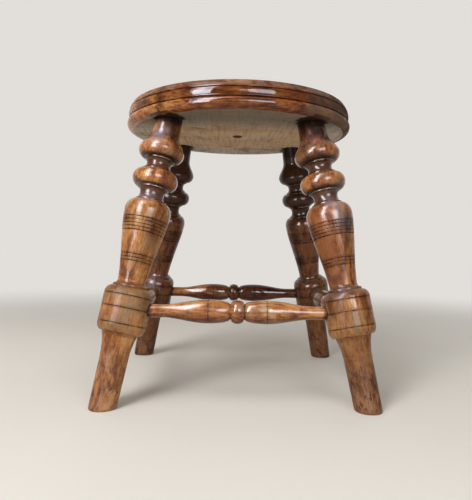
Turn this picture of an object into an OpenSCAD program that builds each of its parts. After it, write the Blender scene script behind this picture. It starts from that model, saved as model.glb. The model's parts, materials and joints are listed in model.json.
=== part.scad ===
// A low round stool of turned wood: a moulded seat on four splayed legs, with a
// turned stretcher between each pair of neighbouring legs. Each leg ends in a round
// tenon that passes right through the seat and is spread by a wedge from above.
// The origin is on the floor under the middle of the seat. The front faces -Y, +Z is up.

/* [Overall] */
// Height from the floor to the top of the seat
stool_h = 341; // [315:1:460]
// How far each leg leans outwards, seen square from the front or from the side, in degrees
splay = 10.4; // [6:0.1:13]

/* [Seat] */
// Diameter of the seat at its widest, the lower moulding
seat_d = 280; // [262:1:340]
// Thickness of the seat
seat_t = 31; // [30:0.5:42]
// How much narrower the upper moulding is, each side, than the lower one
upper_set_back = 1.6; // [0:0.1:4]
// Width of the rounding at the top edge, measured inwards
top_round_w = 6.5; // [4:0.5:20]
// Height of the rounding at the top edge, down to the upper moulding's widest line
top_round_h = 13; // [6:0.5:14]
// How far the upper moulding tucks in towards the groove, under its widest line
upper_tuck = 3.6; // [0.5:0.1:5]
// How far the lower moulding tucks in towards the groove, over its widest line
lower_tuck = 3.2; // [0.5:0.1:5]
// Height of the lower moulding, from the underside to the groove
lower_mould_h = 12; // [8:0.5:13]
// Height of the lower moulding's tuck, from its widest line up to the groove
lower_crown_h = 4.8; // [2:0.1:6]
// Width of the rounding under the lower moulding, measured inwards
under_round_w = 8.4; // [3:0.1:10]
// Height of the groove between the two mouldings
groove_h = 1.5; // [0.8:0.1:2]
// Depth of the groove between the two mouldings, from the upper one's lower edge
groove_depth = 1.4; // [0.5:0.1:4]

/* [Leg joint] */
// Distance from the seat's widest line in to the centre line of a leg, at the underside
leg_inset = 26.7; // [25:0.1:60]
// Diameter of the round tenon that passes through the seat
tenon_d = 22; // [16:0.5:26]
// Thickness of the wedge at the top of the seat
wedge_t = 4; // [2:0.5:6]
// Thickness of the wedge at its tip
wedge_tip_t = 1.2; // [0.5:0.1:2]
// Length of the wedge, down from the top of the seat
wedge_h = 22; // [12:1:25]
// Empty depth of the saw kerf under the wedge's tip
kerf_spare = 2; // [1:0.5:5]

/* [Leg foot and boss] */
// Diameter of the foot where it meets the floor
foot_d = 28.2; // [22:0.5:36]
// Diameter of the lower leg where its taper turns into the flare under the boss
shin_d = 29.8; // [24:0.5:36]
// Diameter of the flare where it meets the boss
flare_d = 38.6; // [30:0.2:40]
// Height of the flare under the boss
flare_h = 28; // [15:1:40]
// Diameter of the boss that holds the stretchers
boss_d = 50.8; // [44:0.2:60]
// Length of the boss along the leg
boss_h = 48; // [40:1:60]
// Diameter of the flat ring at the bottom of the boss
boss_base_d = 41.6; // [41:0.2:43]
// Height of the rounding at the bottom of the boss
boss_bevel_h = 9; // [4:0.5:12]
// Height of the rounding at the top of the boss
boss_shoulder_h = 8.5; // [4:0.5:12]
// Diameter of the small collar on top of the boss
collar_d = 37.4; // [31:0.2:42]
// Height of the small collar on top of the boss
collar_h = 2.4; // [1:0.1:4]

/* [Leg vase and beads] */
// Diameter of the leg at its slim ankle, above the collar
ankle_d = 29.6; // [24:0.2:31]
// Height of the hollow between the collar and the ankle
ankle_h = 4.4; // [2:0.2:8]
// Diameter of the vase at its belly
vase_d = 50.4; // [42:0.2:60]
// Height of the rounded shoulder above the belly
vase_shoulder_h = 12.5; // [8:0.5:18]
// Diameter of the lower of the two beads
lower_bead_d = 50; // [42:0.2:60]
// Diameter of the upper of the two beads
upper_bead_d = 50.6; // [42:0.2:60]
// Height of a bead from its widest line down to the fillet
bead_under_h = 9.5; // [6:0.5:12]
// Height of the lower bead from its widest line up to the fillet
bead_over_h = 9.5; // [6:0.5:12]
// Diameter of the fillets that edge the beads and the vase
fillet_d = 34; // [31:0.2:38]
// Height of each fillet
fillet_h = 1.6; // [0.8:0.1:3]
// Diameter of the two hollow necks
hollow_d = 26.4; // [20:0.2:30]
// Height of the hollow neck between the two beads
upper_hollow_h = 11; // [8:0.5:16]
// Height of the hollow neck between the lower bead and the vase
lower_hollow_h = 13; // [9:0.5:18]
// Length of the bell from the underside of the seat down to the upper bead's widest line
bell_h = 39.7; // [30:0.1:50]
// Height of the bell's flare, up from the upper bead's widest line to the round neck
bell_flare_h = 22; // [14:0.5:28]
// Diameter of the round neck where the flare runs out into it
neck_base_d = 31.6; // [28:0.2:36]
// Diameter of the round neck where it meets the seat
neck_top_d = 29.6; // [28:0.2:32]

/* [Incised lines] */
// Width of an ordinary incised line
line_w = 0.9; // [0.4:0.1:2]
// Width of the bold line that ends the upper group on the vase
bold_line_w = 1.5; // [0.6:0.1:3]
// Height of the boss's middle line above the middle of the boss
boss_line_rise = 2; // [0:0.5:6]
// Number of lines in the upper group on the vase
upper_lines = 5; // [1:1:6]
// Number of lines in the lower group on the vase
lower_lines = 3; // [1:1:5]
// Distance from one line to the next in a group
line_pitch = 3.6; // [2:0.1:4]
// Distance from the vase's belly down to the first line of the upper group
upper_lines_drop = 9.3; // [4:0.1:14]
// Distance from the ankle up to the lowest line of the lower group
lower_lines_rise = 20.8; // [8:0.1:26]

/* [Stretchers] */
// Height of the stretchers' centre lines above the floor
stretcher_z = 98.5; // [88:0.5:115]
// Diameter of a stretcher at its ends, where it enters the bosses
stretcher_end_d = 13.8; // [10:0.2:17]
// Diameter of a stretcher at the widest line of each swelling
swell_d = 25.2; // [18:0.2:34]
// Distance from the middle of a stretcher to the widest line of each swelling
swell_at = 31; // [22:0.5:50]
// Length of the taper from a swelling's widest line to the straight end
taper_h = 50; // [20:0.5:55]
// Diameter of the waist on either side of the middle bead
waist_d = 16.6; // [10:0.2:18]
// Length of the waist on either side of the middle bead
waist_h = 1.2; // [0.6:0.1:4]
// Diameter of the middle bead
mid_bead_d = 25.4; // [18:0.2:34]
// Width of the middle bead along the stretcher
mid_bead_w = 14; // [8:0.2:20]
// Depth of the sockets in the bosses, measured from the surface of the boss
socket_depth = 15; // [8:0.5:16]

/* [Fits] */
// Gap left for glue around each tenon
glue_gap = 0.1; // [0.05:0.05:0.4]
// Gap between the end of a stretcher and the bottom of its socket
socket_end_gap = 0.5; // [0.2:0.1:2]

/* [Hidden] */

// Smoothness of round solids, and the number of points in one curved stretch of an outline
$fn = 96;
CURVE_STEPS = 10;
// How far cutting tools run past what they cut
OVERCUT = 2;

LEG_WOOD = [0.52, 0.29, 0.13];
SEAT_WOOD = [0.40, 0.20, 0.10];
STRETCHER_WOOD = [0.50, 0.27, 0.13];
WEDGE_WOOD = [0.30, 0.17, 0.09];

// Heights of the main levels, and the tilt of a leg in its own upright plane
underside_z = stool_h - seat_t;
lean = atan(sqrt(2)*tan(splay));

// Half the distance between neighbouring legs' centre lines, at the underside, at the
// floor and at any height between
seat_half = (seat_d/2 - leg_inset)/sqrt(2);
foot_half = seat_half + underside_z*tan(splay);
function half_at(z) = foot_half - z*tan(splay);

// Levels along a leg's own centre line, up from the floor
seat_s = underside_z/cos(lean);
upper_bead_s = seat_s - bell_h;
upper_hollow_s = upper_bead_s - bead_under_h - fillet_h - upper_hollow_h;
lower_bead_s = upper_hollow_s - fillet_h - bead_over_h;
lower_hollow_s = lower_bead_s - bead_under_h - fillet_h - lower_hollow_h;
belly_s = lower_hollow_s - fillet_h - vase_shoulder_h;
boss_mid_s = stretcher_z/cos(lean);
boss_base_s = boss_mid_s - boss_h/2;
boss_top_s = boss_mid_s + boss_h/2;
ankle_s = boss_top_s + collar_h + ankle_h;

// Points of an elliptical curve about [r, s], with half widths across and along the axis
function curve(r, s, across, along, from, to) = [
    for (i = [0 : CURVE_STEPS])
        let (a = from + (to - from)*i/CURVE_STEPS)
        [r + across*cos(a), s + along*sin(a)]
];

// A hollow between two fillets, from level s up, h high
function hollow(edge_d, neck_d, s, h) =
    curve(edge_d/2, s + h/2, -(edge_d - neck_d)/2, h/2, -90, 90);

// A rounding that swells out going up, and one that closes in going up
function swell_out(from_d, to_d, s, h) = curve(from_d/2, s + h, (to_d - from_d)/2, h, -90, 0);
function close_in(from_d, to_d, s, h) = curve(to_d/2, s, (from_d - to_d)/2, h, 0, 90);

// Share of a taper's growth reached at share t of its length: part straight, part eased
function ease(t) = (1 - cos(180*t))/2;
function taper_share(t) = (t + ease(t))/2;

// Radius of the vase at level s, between the ankle and the belly
function vase_r(s) =
    (ankle_d + (vase_d - ankle_d)*taper_share((s - ankle_s)/(belly_s - ankle_s)))/2;

// Radius of the bell's flare at share t of the way from the bead up to the neck
function flare_r(t) = (upper_bead_d + (neck_base_d - upper_bead_d)*pow(ease(t), 0.85))/2;

foot_outline = concat(
    [[foot_d/2, -foot_d], [foot_d/2, 0]],
    [for (i = [0 : CURVE_STEPS])
        let (t = i/CURVE_STEPS)
        [(shin_d + (flare_d - shin_d)*pow(t, 2.4))/2, boss_base_s - flare_h*(1 - t)]]
);

boss_outline = concat(
    swell_out(boss_base_d, boss_d, boss_base_s, boss_bevel_h),
    close_in(boss_d, collar_d, boss_top_s - boss_shoulder_h, boss_shoulder_h),
    [[collar_d/2, boss_top_s + collar_h]],
    [for (i = [0 : CURVE_STEPS])
        let (t = i/CURVE_STEPS)
        [(collar_d + (ankle_d - collar_d)*sqrt(t*(2 - t)))/2, boss_top_s + collar_h + ankle_h*t]]
);

vase_outline = concat(
    [for (i = [1 : 2*CURVE_STEPS])
        let (s = ankle_s + (belly_s - ankle_s)*i/(2*CURVE_STEPS))
        [vase_r(s), s]],
    close_in(vase_d, fillet_d, belly_s, vase_shoulder_h)
);

bead_outline = concat(
    hollow(fillet_d, hollow_d, lower_hollow_s, lower_hollow_h),
    swell_out(fillet_d, lower_bead_d, lower_bead_s - bead_under_h, bead_under_h),
    close_in(lower_bead_d, fillet_d, lower_bead_s, bead_over_h),
    hollow(fillet_d, hollow_d, upper_hollow_s, upper_hollow_h),
    swell_out(fillet_d, upper_bead_d, upper_bead_s - bead_under_h, bead_under_h)
);

bell_outline = concat(
    [for (i = [1 : 2*CURVE_STEPS])
        let (t = i/(2*CURVE_STEPS))
        [flare_r(t), upper_bead_s + bell_flare_h*t]],
    [[neck_top_d/2, seat_s], [neck_top_d/2, seat_s + neck_top_d]]
);

leg_outline = concat(foot_outline, boss_outline, vase_outline, bead_outline, bell_outline);

// Levels of the incised lines on the boss, and of the ordinary ones on the vase
boss_lines = [
    boss_base_s + boss_bevel_h + line_w/2,
    boss_mid_s + boss_line_rise,
    boss_top_s - boss_shoulder_h - line_w/2,
];
vase_lines = concat(
    [for (i = [0 : upper_lines - 2]) belly_s - upper_lines_drop - i*line_pitch],
    [for (i = [0 : lower_lines - 1]) ankle_s + lower_lines_rise + i*line_pitch]
);
bold_line_s = belly_s - upper_lines_drop - (upper_lines - 1)*line_pitch;

// Half the length of a stretcher, and the swelling that ends at the waist
stretcher_half = half_at(stretcher_z) - boss_d/2 + socket_depth - socket_end_gap;
waist_end = mid_bead_w/2 + waist_h;

// One half of a stretcher's outline, from the middle of its bead to its end
half_spindle = concat(
    curve(waist_d/2, 0, (mid_bead_d - waist_d)/2, mid_bead_w/2, 0, 90),
    curve(waist_d/2, swell_at, (swell_d - waist_d)/2, swell_at - waist_end, -90, 0),
    [for (i = [1 : 2*CURVE_STEPS])
        let (t = i/(2*CURVE_STEPS))
        [(swell_d + (stretcher_end_d - swell_d)*ease(t))/2, swell_at + taper_h*t]],
    [[stretcher_end_d/2, stretcher_half], [0, stretcher_half]]
);

// The seat's outline, down from the middle of its top and back along its underside
upper_r = seat_d/2 - upper_set_back;
groove_top_z = underside_z + lower_mould_h + groove_h;
seat_outline = concat(
    [[0, underside_z]],
    curve(seat_d/2 - under_round_w, underside_z + lower_mould_h - lower_crown_h,
        under_round_w, lower_mould_h - lower_crown_h, -90, 0),
    curve(seat_d/2 - lower_tuck, underside_z + lower_mould_h - lower_crown_h,
        lower_tuck, lower_crown_h, 0, 90),
    [[upper_r - upper_tuck - groove_depth, underside_z + lower_mould_h + groove_h/2]],
    curve(upper_r - upper_tuck, stool_h - top_round_h,
        upper_tuck, stool_h - top_round_h - groove_top_z, -90, 0),
    curve(upper_r - top_round_w, stool_h - top_round_h, top_round_w, top_round_h, 0, 90),
    [[0, stool_h]]
);

// Everything between two heights, wide enough to hold the whole stool
module layer(bottom, top) {
    width = 2*(foot_half + boss_d);
    translate([-width/2, -width/2, bottom])
        cube([width, width, top - bottom]);
}

// Stands an upright piece on a leg's centre line; x and y are -1 or 1, its corner
module on_leg(x, y) {
    azimuth = atan2(y, x);
    translate([x*foot_half, y*foot_half, 0])
        rotate([0, 0, azimuth])
            rotate([0, -lean, 0])
                rotate([0, 0, -azimuth])
                    children();
}

// A small V cut that turning leaves at radius r and level s
module line_cut(r, s, w) {
    translate([r, s])
        rotate(45)
            square(w/sqrt(2), center = true);
}

module turned_leg() {
    rotate_extrude()
        difference() {
            polygon(concat([[0, -foot_d]], leg_outline, [[0, seat_s + neck_top_d]]));
            for (s = boss_lines)
                line_cut(boss_d/2, s, line_w);
            for (s = vase_lines)
                line_cut(vase_r(s), s, line_w);
            line_cut(vase_r(bold_line_s), bold_line_s, bold_line_w);
        }
}

// A wedge standing on its tip, or with spare the kerf that is sawn for it
module wedge_shape(spare) {
    top_s = stool_h/cos(lean) + tenon_d;
    slope = (wedge_t - wedge_tip_t)/2/wedge_h;
    tip_s = stool_h/cos(lean) - wedge_h;
    top_half = wedge_tip_t/2 + slope*(top_s - tip_s);
    rotate([90, 0, 0])
        linear_extrude(height = tenon_d + 2*spare, center = true)
            polygon([
                [-wedge_tip_t/2, tip_s - spare], [wedge_tip_t/2, tip_s - spare],
                [wedge_tip_t/2, tip_s], [top_half, top_s],
                [-top_half, top_s], [-wedge_tip_t/2, tip_s],
            ]);
}

// A round rod along a leg's centre line, through the whole seat
module seat_rod(d) {
    translate([0, 0, seat_s - d])
        cylinder(h = seat_t/cos(lean) + 2*d, d = d);
}

// The two sockets in a leg's boss, bored level from its inner sides
module sockets(x, y) {
    at = half_at(stretcher_z);
    wall = boss_d/2 - socket_depth;
    reach = at - wall;
    bore = stretcher_end_d + 2*glue_gap;
    translate([0, y*at, stretcher_z])
        rotate([0, 90*x, 0])
            cylinder(h = reach, d = bore);
    translate([x*at, 0, stretcher_z])
        rotate([-90*y, 0, 0])
            cylinder(h = reach, d = bore);
}

module leg(x, y) {
    color(LEG_WOOD)
        difference() {
            union() {
                intersection() {
                    on_leg(x, y) turned_leg();
                    layer(0, underside_z);
                }
                intersection() {
                    on_leg(x, y) seat_rod(tenon_d);
                    layer(underside_z - OVERCUT, stool_h);
                }
            }
            on_leg(x, y) wedge_shape(kerf_spare);
            sockets(x, y);
        }
}

module wedge(x, y) {
    color(WEDGE_WOOD)
        intersection() {
            on_leg(x, y)
                intersection() {
                    wedge_shape(0);
                    seat_rod(tenon_d);
                }
            layer(underside_z, stool_h);
        }
}

module seat() {
    color(SEAT_WOOD)
        difference() {
            rotate_extrude()
                polygon(seat_outline);
            for (x = [-1, 1])
                for (y = [-1, 1])
                    on_leg(x, y) seat_rod(tenon_d + 2*glue_gap);
        }
}

// A stretcher upright about its middle
module turned_stretcher() {
    other_half = [for (i = [len(half_spindle) - 1 : -1 : 1]) [half_spindle[i][0], -half_spindle[i][1]]];
    color(STRETCHER_WOOD)
        rotate_extrude()
            difference() {
                polygon(concat(other_half, half_spindle));
                for (side = [-1, 1])
                    line_cut(swell_d/2, side*swell_at, line_w);
            }
}

// A stretcher that runs left to right, at the front with y = -1 and at the rear with y = 1
module cross_stretcher(y) {
    translate([0, y*half_at(stretcher_z), stretcher_z])
        rotate([0, 90, 0])
            turned_stretcher();
}

// A stretcher that runs front to rear, on the left with x = -1 and on the right with x = 1
module side_stretcher(x) {
    translate([x*half_at(stretcher_z), 0, stretcher_z])
        rotate([-90, 0, 0])
            turned_stretcher();
}

seat();
leg(-1, -1);  // leg_front_left
leg(1, -1);  // leg_front_right
leg(-1, 1);  // leg_rear_left
leg(1, 1);  // leg_rear_right
cross_stretcher(-1);  // stretcher_front
cross_stretcher(1);  // stretcher_rear
side_stretcher(-1);  // stretcher_left
side_stretcher(1);  // stretcher_right
wedge(-1, -1);  // wedge_front_left
wedge(1, -1);  // wedge_front_right
wedge(-1, 1);  // wedge_rear_left
wedge(1, 1);  // wedge_rear_right
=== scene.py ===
"""Dresses a low round stool of turned wood. The seat, the legs and the stretchers are turned again as
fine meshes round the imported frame, with worn edges, dents and incised lines, and every piece gets an
aged, polished wood made of nodes. A pale stage with soft light and the camera come last."""

import json
import math
from collections import namedtuple

import bmesh
import bpy
import numpy as np
from mathutils import Matrix, Vector


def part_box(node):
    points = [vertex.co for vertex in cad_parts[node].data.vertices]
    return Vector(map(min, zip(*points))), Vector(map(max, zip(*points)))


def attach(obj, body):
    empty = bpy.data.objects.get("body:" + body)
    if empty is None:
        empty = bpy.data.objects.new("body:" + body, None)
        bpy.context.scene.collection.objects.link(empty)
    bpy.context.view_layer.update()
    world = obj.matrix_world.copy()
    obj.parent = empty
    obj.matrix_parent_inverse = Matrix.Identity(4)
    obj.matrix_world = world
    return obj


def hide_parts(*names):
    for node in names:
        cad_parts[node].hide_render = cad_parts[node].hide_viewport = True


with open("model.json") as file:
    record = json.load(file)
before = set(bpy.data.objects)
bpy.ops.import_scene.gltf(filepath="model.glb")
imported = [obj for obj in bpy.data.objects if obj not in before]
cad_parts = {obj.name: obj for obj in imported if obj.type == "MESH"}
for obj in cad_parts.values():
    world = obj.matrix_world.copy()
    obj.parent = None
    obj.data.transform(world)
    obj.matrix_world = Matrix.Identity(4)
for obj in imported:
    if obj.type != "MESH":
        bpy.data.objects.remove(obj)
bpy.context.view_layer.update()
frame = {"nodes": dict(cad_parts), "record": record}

bl_info = {
    "name": "Turned stool",
    "version": (1, 0, 0),
    "blender": (4, 5, 0),
    "location": "3D View > Sidebar > Stool",
    "description": "Turns and finishes a low round stool of old polished wood",
    "category": "Object",
}

MM = 0.001
BODY = "root"
CORNERS = {"front_left": (-1, -1), "front_right": (1, -1), "rear_left": (-1, 1), "rear_right": (1, 1)}
SEAT_LOW, SEAT_HIGH = (Vector(corner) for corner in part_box("seat"))
STRETCHER_LOW, STRETCHER_HIGH = (Vector(corner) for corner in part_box("stretcher_front"))
FOOT_CENTRES = {
    mount["name"].replace("foot_sole_", ""): mount["pos_m"]
    for mount in frame["record"]["mounts"] if mount["name"].startswith("foot_sole_")
}

# The lathe's axis
AXIS = np.array([0, 0, 1])
# Spacing of the points on an outline before it is thinned, how far thinning may stray, there and on
# the rim, and the longest face that it may leave
OUTLINE_STEP = 0.15*MM
OUTLINE_STRAY = 0.006*MM
RIM_STRAY = 0.004*MM
LONGEST_FACE = 3.0*MM
# Steps on a curve and on a rising stretch, where a call doesn't say
ARC_STEPS = 28
RISING_STEPS = 60
# How far the edges of the legs, the stretchers and the rim have worn round, and those of the lines
LEG_WEAR = 0.32*MM
STRETCHER_WEAR = 0.28*MM
RIM_WEAR = 0.18*MM
LINE_WEAR = 0.10*MM
# Overlap that seals a leg's shoulder to the seat, and the glue round a tenon
SEAL = 0.2*MM
GLUE = 0.1*MM
# Edges sharper than this aren't shaded smooth
SHARP_ANGLE = math.radians(55)


def length(name, description, millimetres):
    """A size, given in millimetres and kept in metres."""
    return bpy.props.FloatProperty(
        name=name, description=description, default=millimetres*MM, min=0.0, unit="LENGTH",
        subtype="DISTANCE", precision=4)


def angle(name, description, degrees):
    """An angle, given in degrees and kept in radians."""
    return bpy.props.FloatProperty(
        name=name, description=description, default=math.radians(degrees), subtype="ANGLE")


def whole_number(name, description, number, least):
    """A count of things."""
    return bpy.props.IntProperty(name=name, description=description, default=number, min=least)


def colour(name, description, red, green, blue):
    """A colour, given as its linear red, green and blue."""
    return bpy.props.FloatVectorProperty(
        name=name, description=description, default=(red, green, blue), min=0.0, max=1.0, size=3,
        subtype="COLOR")


def share(name, description, value):
    """A share from 0 to 1."""
    return bpy.props.FloatProperty(
        name=name, description=description, default=value, min=0.0, max=1.0, subtype="FACTOR")


class StoolSeatSizes(bpy.types.PropertyGroup):
    across: length("Across", "Diameter at the widest line, the lower moulding", 280)
    set_back: length("Set back", "How much narrower the upper moulding is, each side", 1.6)
    top_round_w: length("Top rounding width", "Width of the rounding at the top edge", 6.5)
    top_round_h: length("Top rounding height", "Height of the rounding at the top edge", 13)
    top_line: length("Top line", "From the top down to the fine line on the upper moulding", 8.2)
    band_drop: length("Band drop", "How far the band under that line falls back", 1.1)
    upper_tuck: length("Upper tuck", "How far the upper moulding tucks in over the groove", 1.4)
    lower_tuck: length("Lower tuck", "How far the lower moulding tucks in under the groove", 3.2)
    lower_moulding: length("Lower moulding", "Height from the underside to the groove", 12)
    lower_crown: length("Lower crown", "Height of the lower moulding's tuck", 4.8)
    under_round: length("Under rounding", "Width of the rounding under the lower moulding", 8.4)
    groove_h: length("Groove height", "Height of the groove between the mouldings", 1.2)
    groove_depth: length("Groove depth", "Depth of the groove between the mouldings", 0.7)


class StoolLegSizes(bpy.types.PropertyGroup):
    splay: angle("Splay", "How far a leg leans outwards, seen square from the front", 10.4)
    tenon: length("Tenon", "Diameter of the round tenon that passes through the seat", 22)
    wedge_top: length("Wedge", "Thickness of the wedge at the top of the seat", 4)
    wedge_tip: length("Wedge tip", "Thickness of the wedge at its tip", 1.2)
    wedge_h: length("Wedge length", "Length of the wedge, down from the top of the seat", 22)
    foot: length("Foot", "Diameter of the foot at the floor", 28.2)
    shin: length("Shin", "Diameter where the lower leg starts to flare", 29.8)
    flare: length("Flare", "Diameter of the flare where it meets the boss", 38.6)
    flare_h: length("Flare height", "Height of the flare under the boss", 28)
    boss: length("Boss", "Diameter of the boss that holds the stretchers", 50.8)
    boss_h: length("Boss height", "Length of the boss along the leg", 48)
    boss_base: length("Boss base", "Diameter of the flat ring under the boss", 41.6)
    boss_bevel: length("Boss bevel", "Height of the rounding at the bottom of the boss", 9)
    boss_shoulder: length("Boss shoulder", "Height of the rounding at the top of the boss", 8.5)
    collar: length("Collar", "Diameter of the small collar on the boss", 37.4)
    collar_h: length("Collar height", "Height of the small collar on the boss", 2.4)
    ankle: length("Ankle", "Diameter at the slim ankle over the collar", 29.6)
    ankle_h: length("Ankle height", "Height of the hollow between collar and ankle", 4.4)
    vase: length("Vase", "Diameter of the vase at its belly", 50.4)
    vase_shoulder: length("Vase shoulder", "Height of the shoulder over the belly", 12.5)
    lower_bead: length("Lower bead", "Diameter of the lower bead", 50)
    upper_bead: length("Upper bead", "Diameter of the upper bead", 50.6)
    bead_under: length("Bead underside", "Height from a bead's fillet to its widest line", 9.5)
    bead_over: length("Bead top", "Height from the lower bead's widest line to its fillet", 9.5)
    fillet: length("Fillet", "Diameter of the fillets that edge the beads and the vase", 34)
    fillet_h: length("Fillet height", "Height of each fillet", 1.6)
    hollow: length("Hollow", "Diameter of the two hollow necks", 26.4)
    upper_hollow: length("Upper hollow", "Height of the neck between the beads", 11)
    lower_hollow: length("Lower hollow", "Height of the neck under the lower bead", 13)
    bell_h: length("Bell", "Length of the bell, from the seat to the upper bead", 39.7)
    bell_flare: length("Bell flare", "Height of the bell's flare over the upper bead", 22)
    neck_base: length("Neck base", "Diameter of the round neck where the flare ends", 31.6)
    neck_top: length("Neck top", "Diameter of the round neck at the seat", 29.6)
    line_w: length("Line", "Width of an ordinary incised line", 0.9)
    bold_line_w: length("Bold line", "Width of the bold line on the vase", 1.5)
    line_pitch: length("Line pitch", "Distance from one line to the next on the vase", 3.6)
    upper_drop: length("Upper lines", "From the belly down to the upper group of lines", 9.3)
    lower_rise: length("Lower lines", "From the ankle up to the lower group of lines", 20.8)
    boss_line_rise: length("Boss line", "Height of the middle line over the middle of the boss", 2)
    upper_lines: whole_number("Upper lines", "Number of lines in the upper group", 5, 1)
    lower_lines: whole_number("Lower lines", "Number of lines in the lower group", 3, 1)


class StoolStretcherSizes(bpy.types.PropertyGroup):
    end: length("End", "Diameter of a stretcher where it enters the bosses", 13.8)
    swell: length("Swelling", "Diameter at the widest line of each swelling", 25.2)
    swell_at: length("Swelling place", "From the middle to each swelling's widest line", 31)
    taper: length("Taper", "Length of the taper from a swelling to the straight end", 50)
    waist: length("Waist", "Diameter of the waist beside the middle bead", 16.6)
    waist_h: length("Waist length", "Length of the waist beside the middle bead", 1.2)
    bead: length("Bead", "Diameter of the middle bead", 25.4)
    bead_w: length("Bead width", "Width of the middle bead along the stretcher", 14)
    line_w: length("Line", "Width of the incised line on each swelling", 0.9)


class StoolFinish(bpy.types.PropertyGroup):
    pale_gold: colour("Pale gold", "The lightest patches of the polish", 0.60, 0.300, 0.110)
    gold: colour("Gold", "Where the polish has worn to a warm gold", 0.45, 0.188, 0.054)
    amber: colour("Amber", "The usual colour of the polished wood", 0.29, 0.098, 0.026)
    russet: colour("Russet", "Red-brown patches in the polish", 0.170, 0.046, 0.015)
    orange: colour("Orange", "Glowing red-orange patches in the polish", 0.41, 0.118, 0.026)
    umber: colour("Umber", "Dark patches in the polish", 0.070, 0.026, 0.012)
    olive: colour("Olive", "Patches that have gone a dull green-brown", 0.240, 0.155, 0.080)
    drab: colour("Drab", "Where the rim has lost its colour", 0.150, 0.108, 0.078)
    tan: colour("Tan", "Where the polish of the stretchers has paled", 0.42, 0.285, 0.160)
    # Bluish colour painted as the sheen of the room's light on the polish, and as bloom on one blotch
    bloom: colour("Bloom", "Bluish bloom on the old polish", 0.46, 0.43, 0.50)
    # Also painted as shade on the necks under the seat and on the rear legs
    purple: colour("Purple brown", "Old dark polish in the hollow necks", 0.060, 0.022, 0.011)
    # Dark colour of grime, also painted as shade in creases and as shadow under the seat
    grime: colour("Grime", "Dirt in corners and lines", 0.014, 0.007, 0.005)
    # Pale colour of wax, also painted in the leg's quirks as a reflection of the floor
    wax: colour("Wax", "Pale wax left in the quirks", 0.52, 0.44, 0.38)
    scuffed: colour("Scuffed", "Dull, scuffed wood at the feet", 0.38, 0.215, 0.125)
    raw: colour("Raw", "Bare wood under the seat", 0.64, 0.445, 0.280)
    raw_grey: colour("Raw grey", "Greyed bare wood under the seat", 0.58, 0.54, 0.47)
    raw_brown: colour("Raw brown", "Browned patches under the seat", 0.36, 0.205, 0.110)
    raw_dark: colour("Raw dark", "Dark grain of the bare wood", 0.19, 0.115, 0.060)
    gouge: colour("Gouge", "Dark wood in the gouge under the seat", 0.09, 0.020, 0.010)
    gloss: share("Gloss", "Strength of the clear polish", 0.9)
    gloss_ior: bpy.props.FloatProperty(
        name="Gloss IOR", description="Index of refraction of the clear polish", default=1.38, min=1.0,
        max=2.0)
    gloss_blur: share("Gloss blur", "Roughness of the clear polish on the legs", 0.19)
    stretcher_blur: share("Stretcher gloss blur", "Roughness of the clear polish on the stretchers", 0.08)
    rim_blur: share("Rim gloss blur", "Roughness of the clear polish on the seat", 0.06)


class StoolStage(bpy.types.PropertyGroup):
    floor: colour("Floor", "Colour of the floor", 0.69, 0.655, 0.585)
    wall: colour("Wall", "Colour behind the stool", 0.76, 0.73, 0.70)
    camera_place: bpy.props.FloatVectorProperty(
        name="Camera", description="Where the camera stands", default=(-0.0145, -0.6744, 0.1672),
        subtype="TRANSLATION", unit="LENGTH")
    camera_yaw: angle("Yaw", "Turn of the camera to the left", -1.21)
    camera_pitch: angle("Pitch", "Rise of the camera's view", -0.31)
    camera_roll: angle("Roll", "Tilt of the camera to the left", 1.05)
    focal_pixels: bpy.props.FloatProperty(
        name="Focal length", description="Focal length in pixels of the 472 by 500 frame", default=523.7)


# Outlines. Each is an array of points (radius, level along the axis), in metres.

def arc(r, s, across, along, start, end, steps=ARC_STEPS):
    """An elliptical curve about (r, s), with half widths across and along the axis."""
    angles = np.radians(np.linspace(start, end, steps + 1))
    return np.column_stack([r + across*np.cos(angles), s + along*np.sin(angles)])


def hollow(edge, neck, s, height):
    """A hollow between two edges, from level s up."""
    return arc(edge/2, s + height/2, -(edge - neck)/2, height/2, -90, 90)


def swell_out(narrow, wide, s, height):
    """A quarter round that widens from level s up."""
    return arc(narrow/2, s + height, (wide - narrow)/2, height, -90, 0)


def close_in(wide, narrow, s, height):
    """A quarter round that narrows from level s up."""
    return arc(narrow/2, s, (wide - narrow)/2, height, 0, 90)


def ease(t):
    """A share of the way that starts and ends slowly."""
    return (1 - np.cos(np.pi*t))/2


def rising(radius_at, low, high):
    """A stretch from level low to high, with its radius given for each share of the way."""
    t = np.linspace(0, 1, RISING_STEPS + 1)
    return np.column_stack([radius_at(t), low + (high - low)*t])


def distances(points):
    """How far along an outline each of its points lies."""
    return np.concatenate([[0], np.cumsum(np.linalg.norm(np.diff(points, axis=0), axis=1))])


def even(points):
    """The same outline with evenly spaced points."""
    along = distances(points)
    at = np.linspace(0, along[-1], int(along[-1]/OUTLINE_STEP) + 1)
    return np.column_stack([np.interp(at, along, points[:, k]) for k in (0, 1)])


def soften(values, width):
    """Values averaged along an even outline over a width in metres."""
    reach = max(1, int(3*width/OUTLINE_STEP))
    weights = np.exp(-0.5*(np.arange(-reach, reach + 1)*OUTLINE_STEP/width)**2)
    padded = np.pad(values, reach, mode="reflect", reflect_type="odd")
    return np.convolve(padded, weights/weights.sum(), mode="valid")


def worn_edges(points, width):
    """An even outline with its sharp edges worn round."""
    return np.column_stack([soften(points[:, 0], width), soften(points[:, 1], width)])


def incise(points, levels, width):
    """Cuts a V line into the outline at each level."""
    cut = points.copy()
    for level in levels:
        cut[:, 0] -= np.clip(width/2 - np.abs(points[:, 1] - level), 0, None)
    return cut


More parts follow.
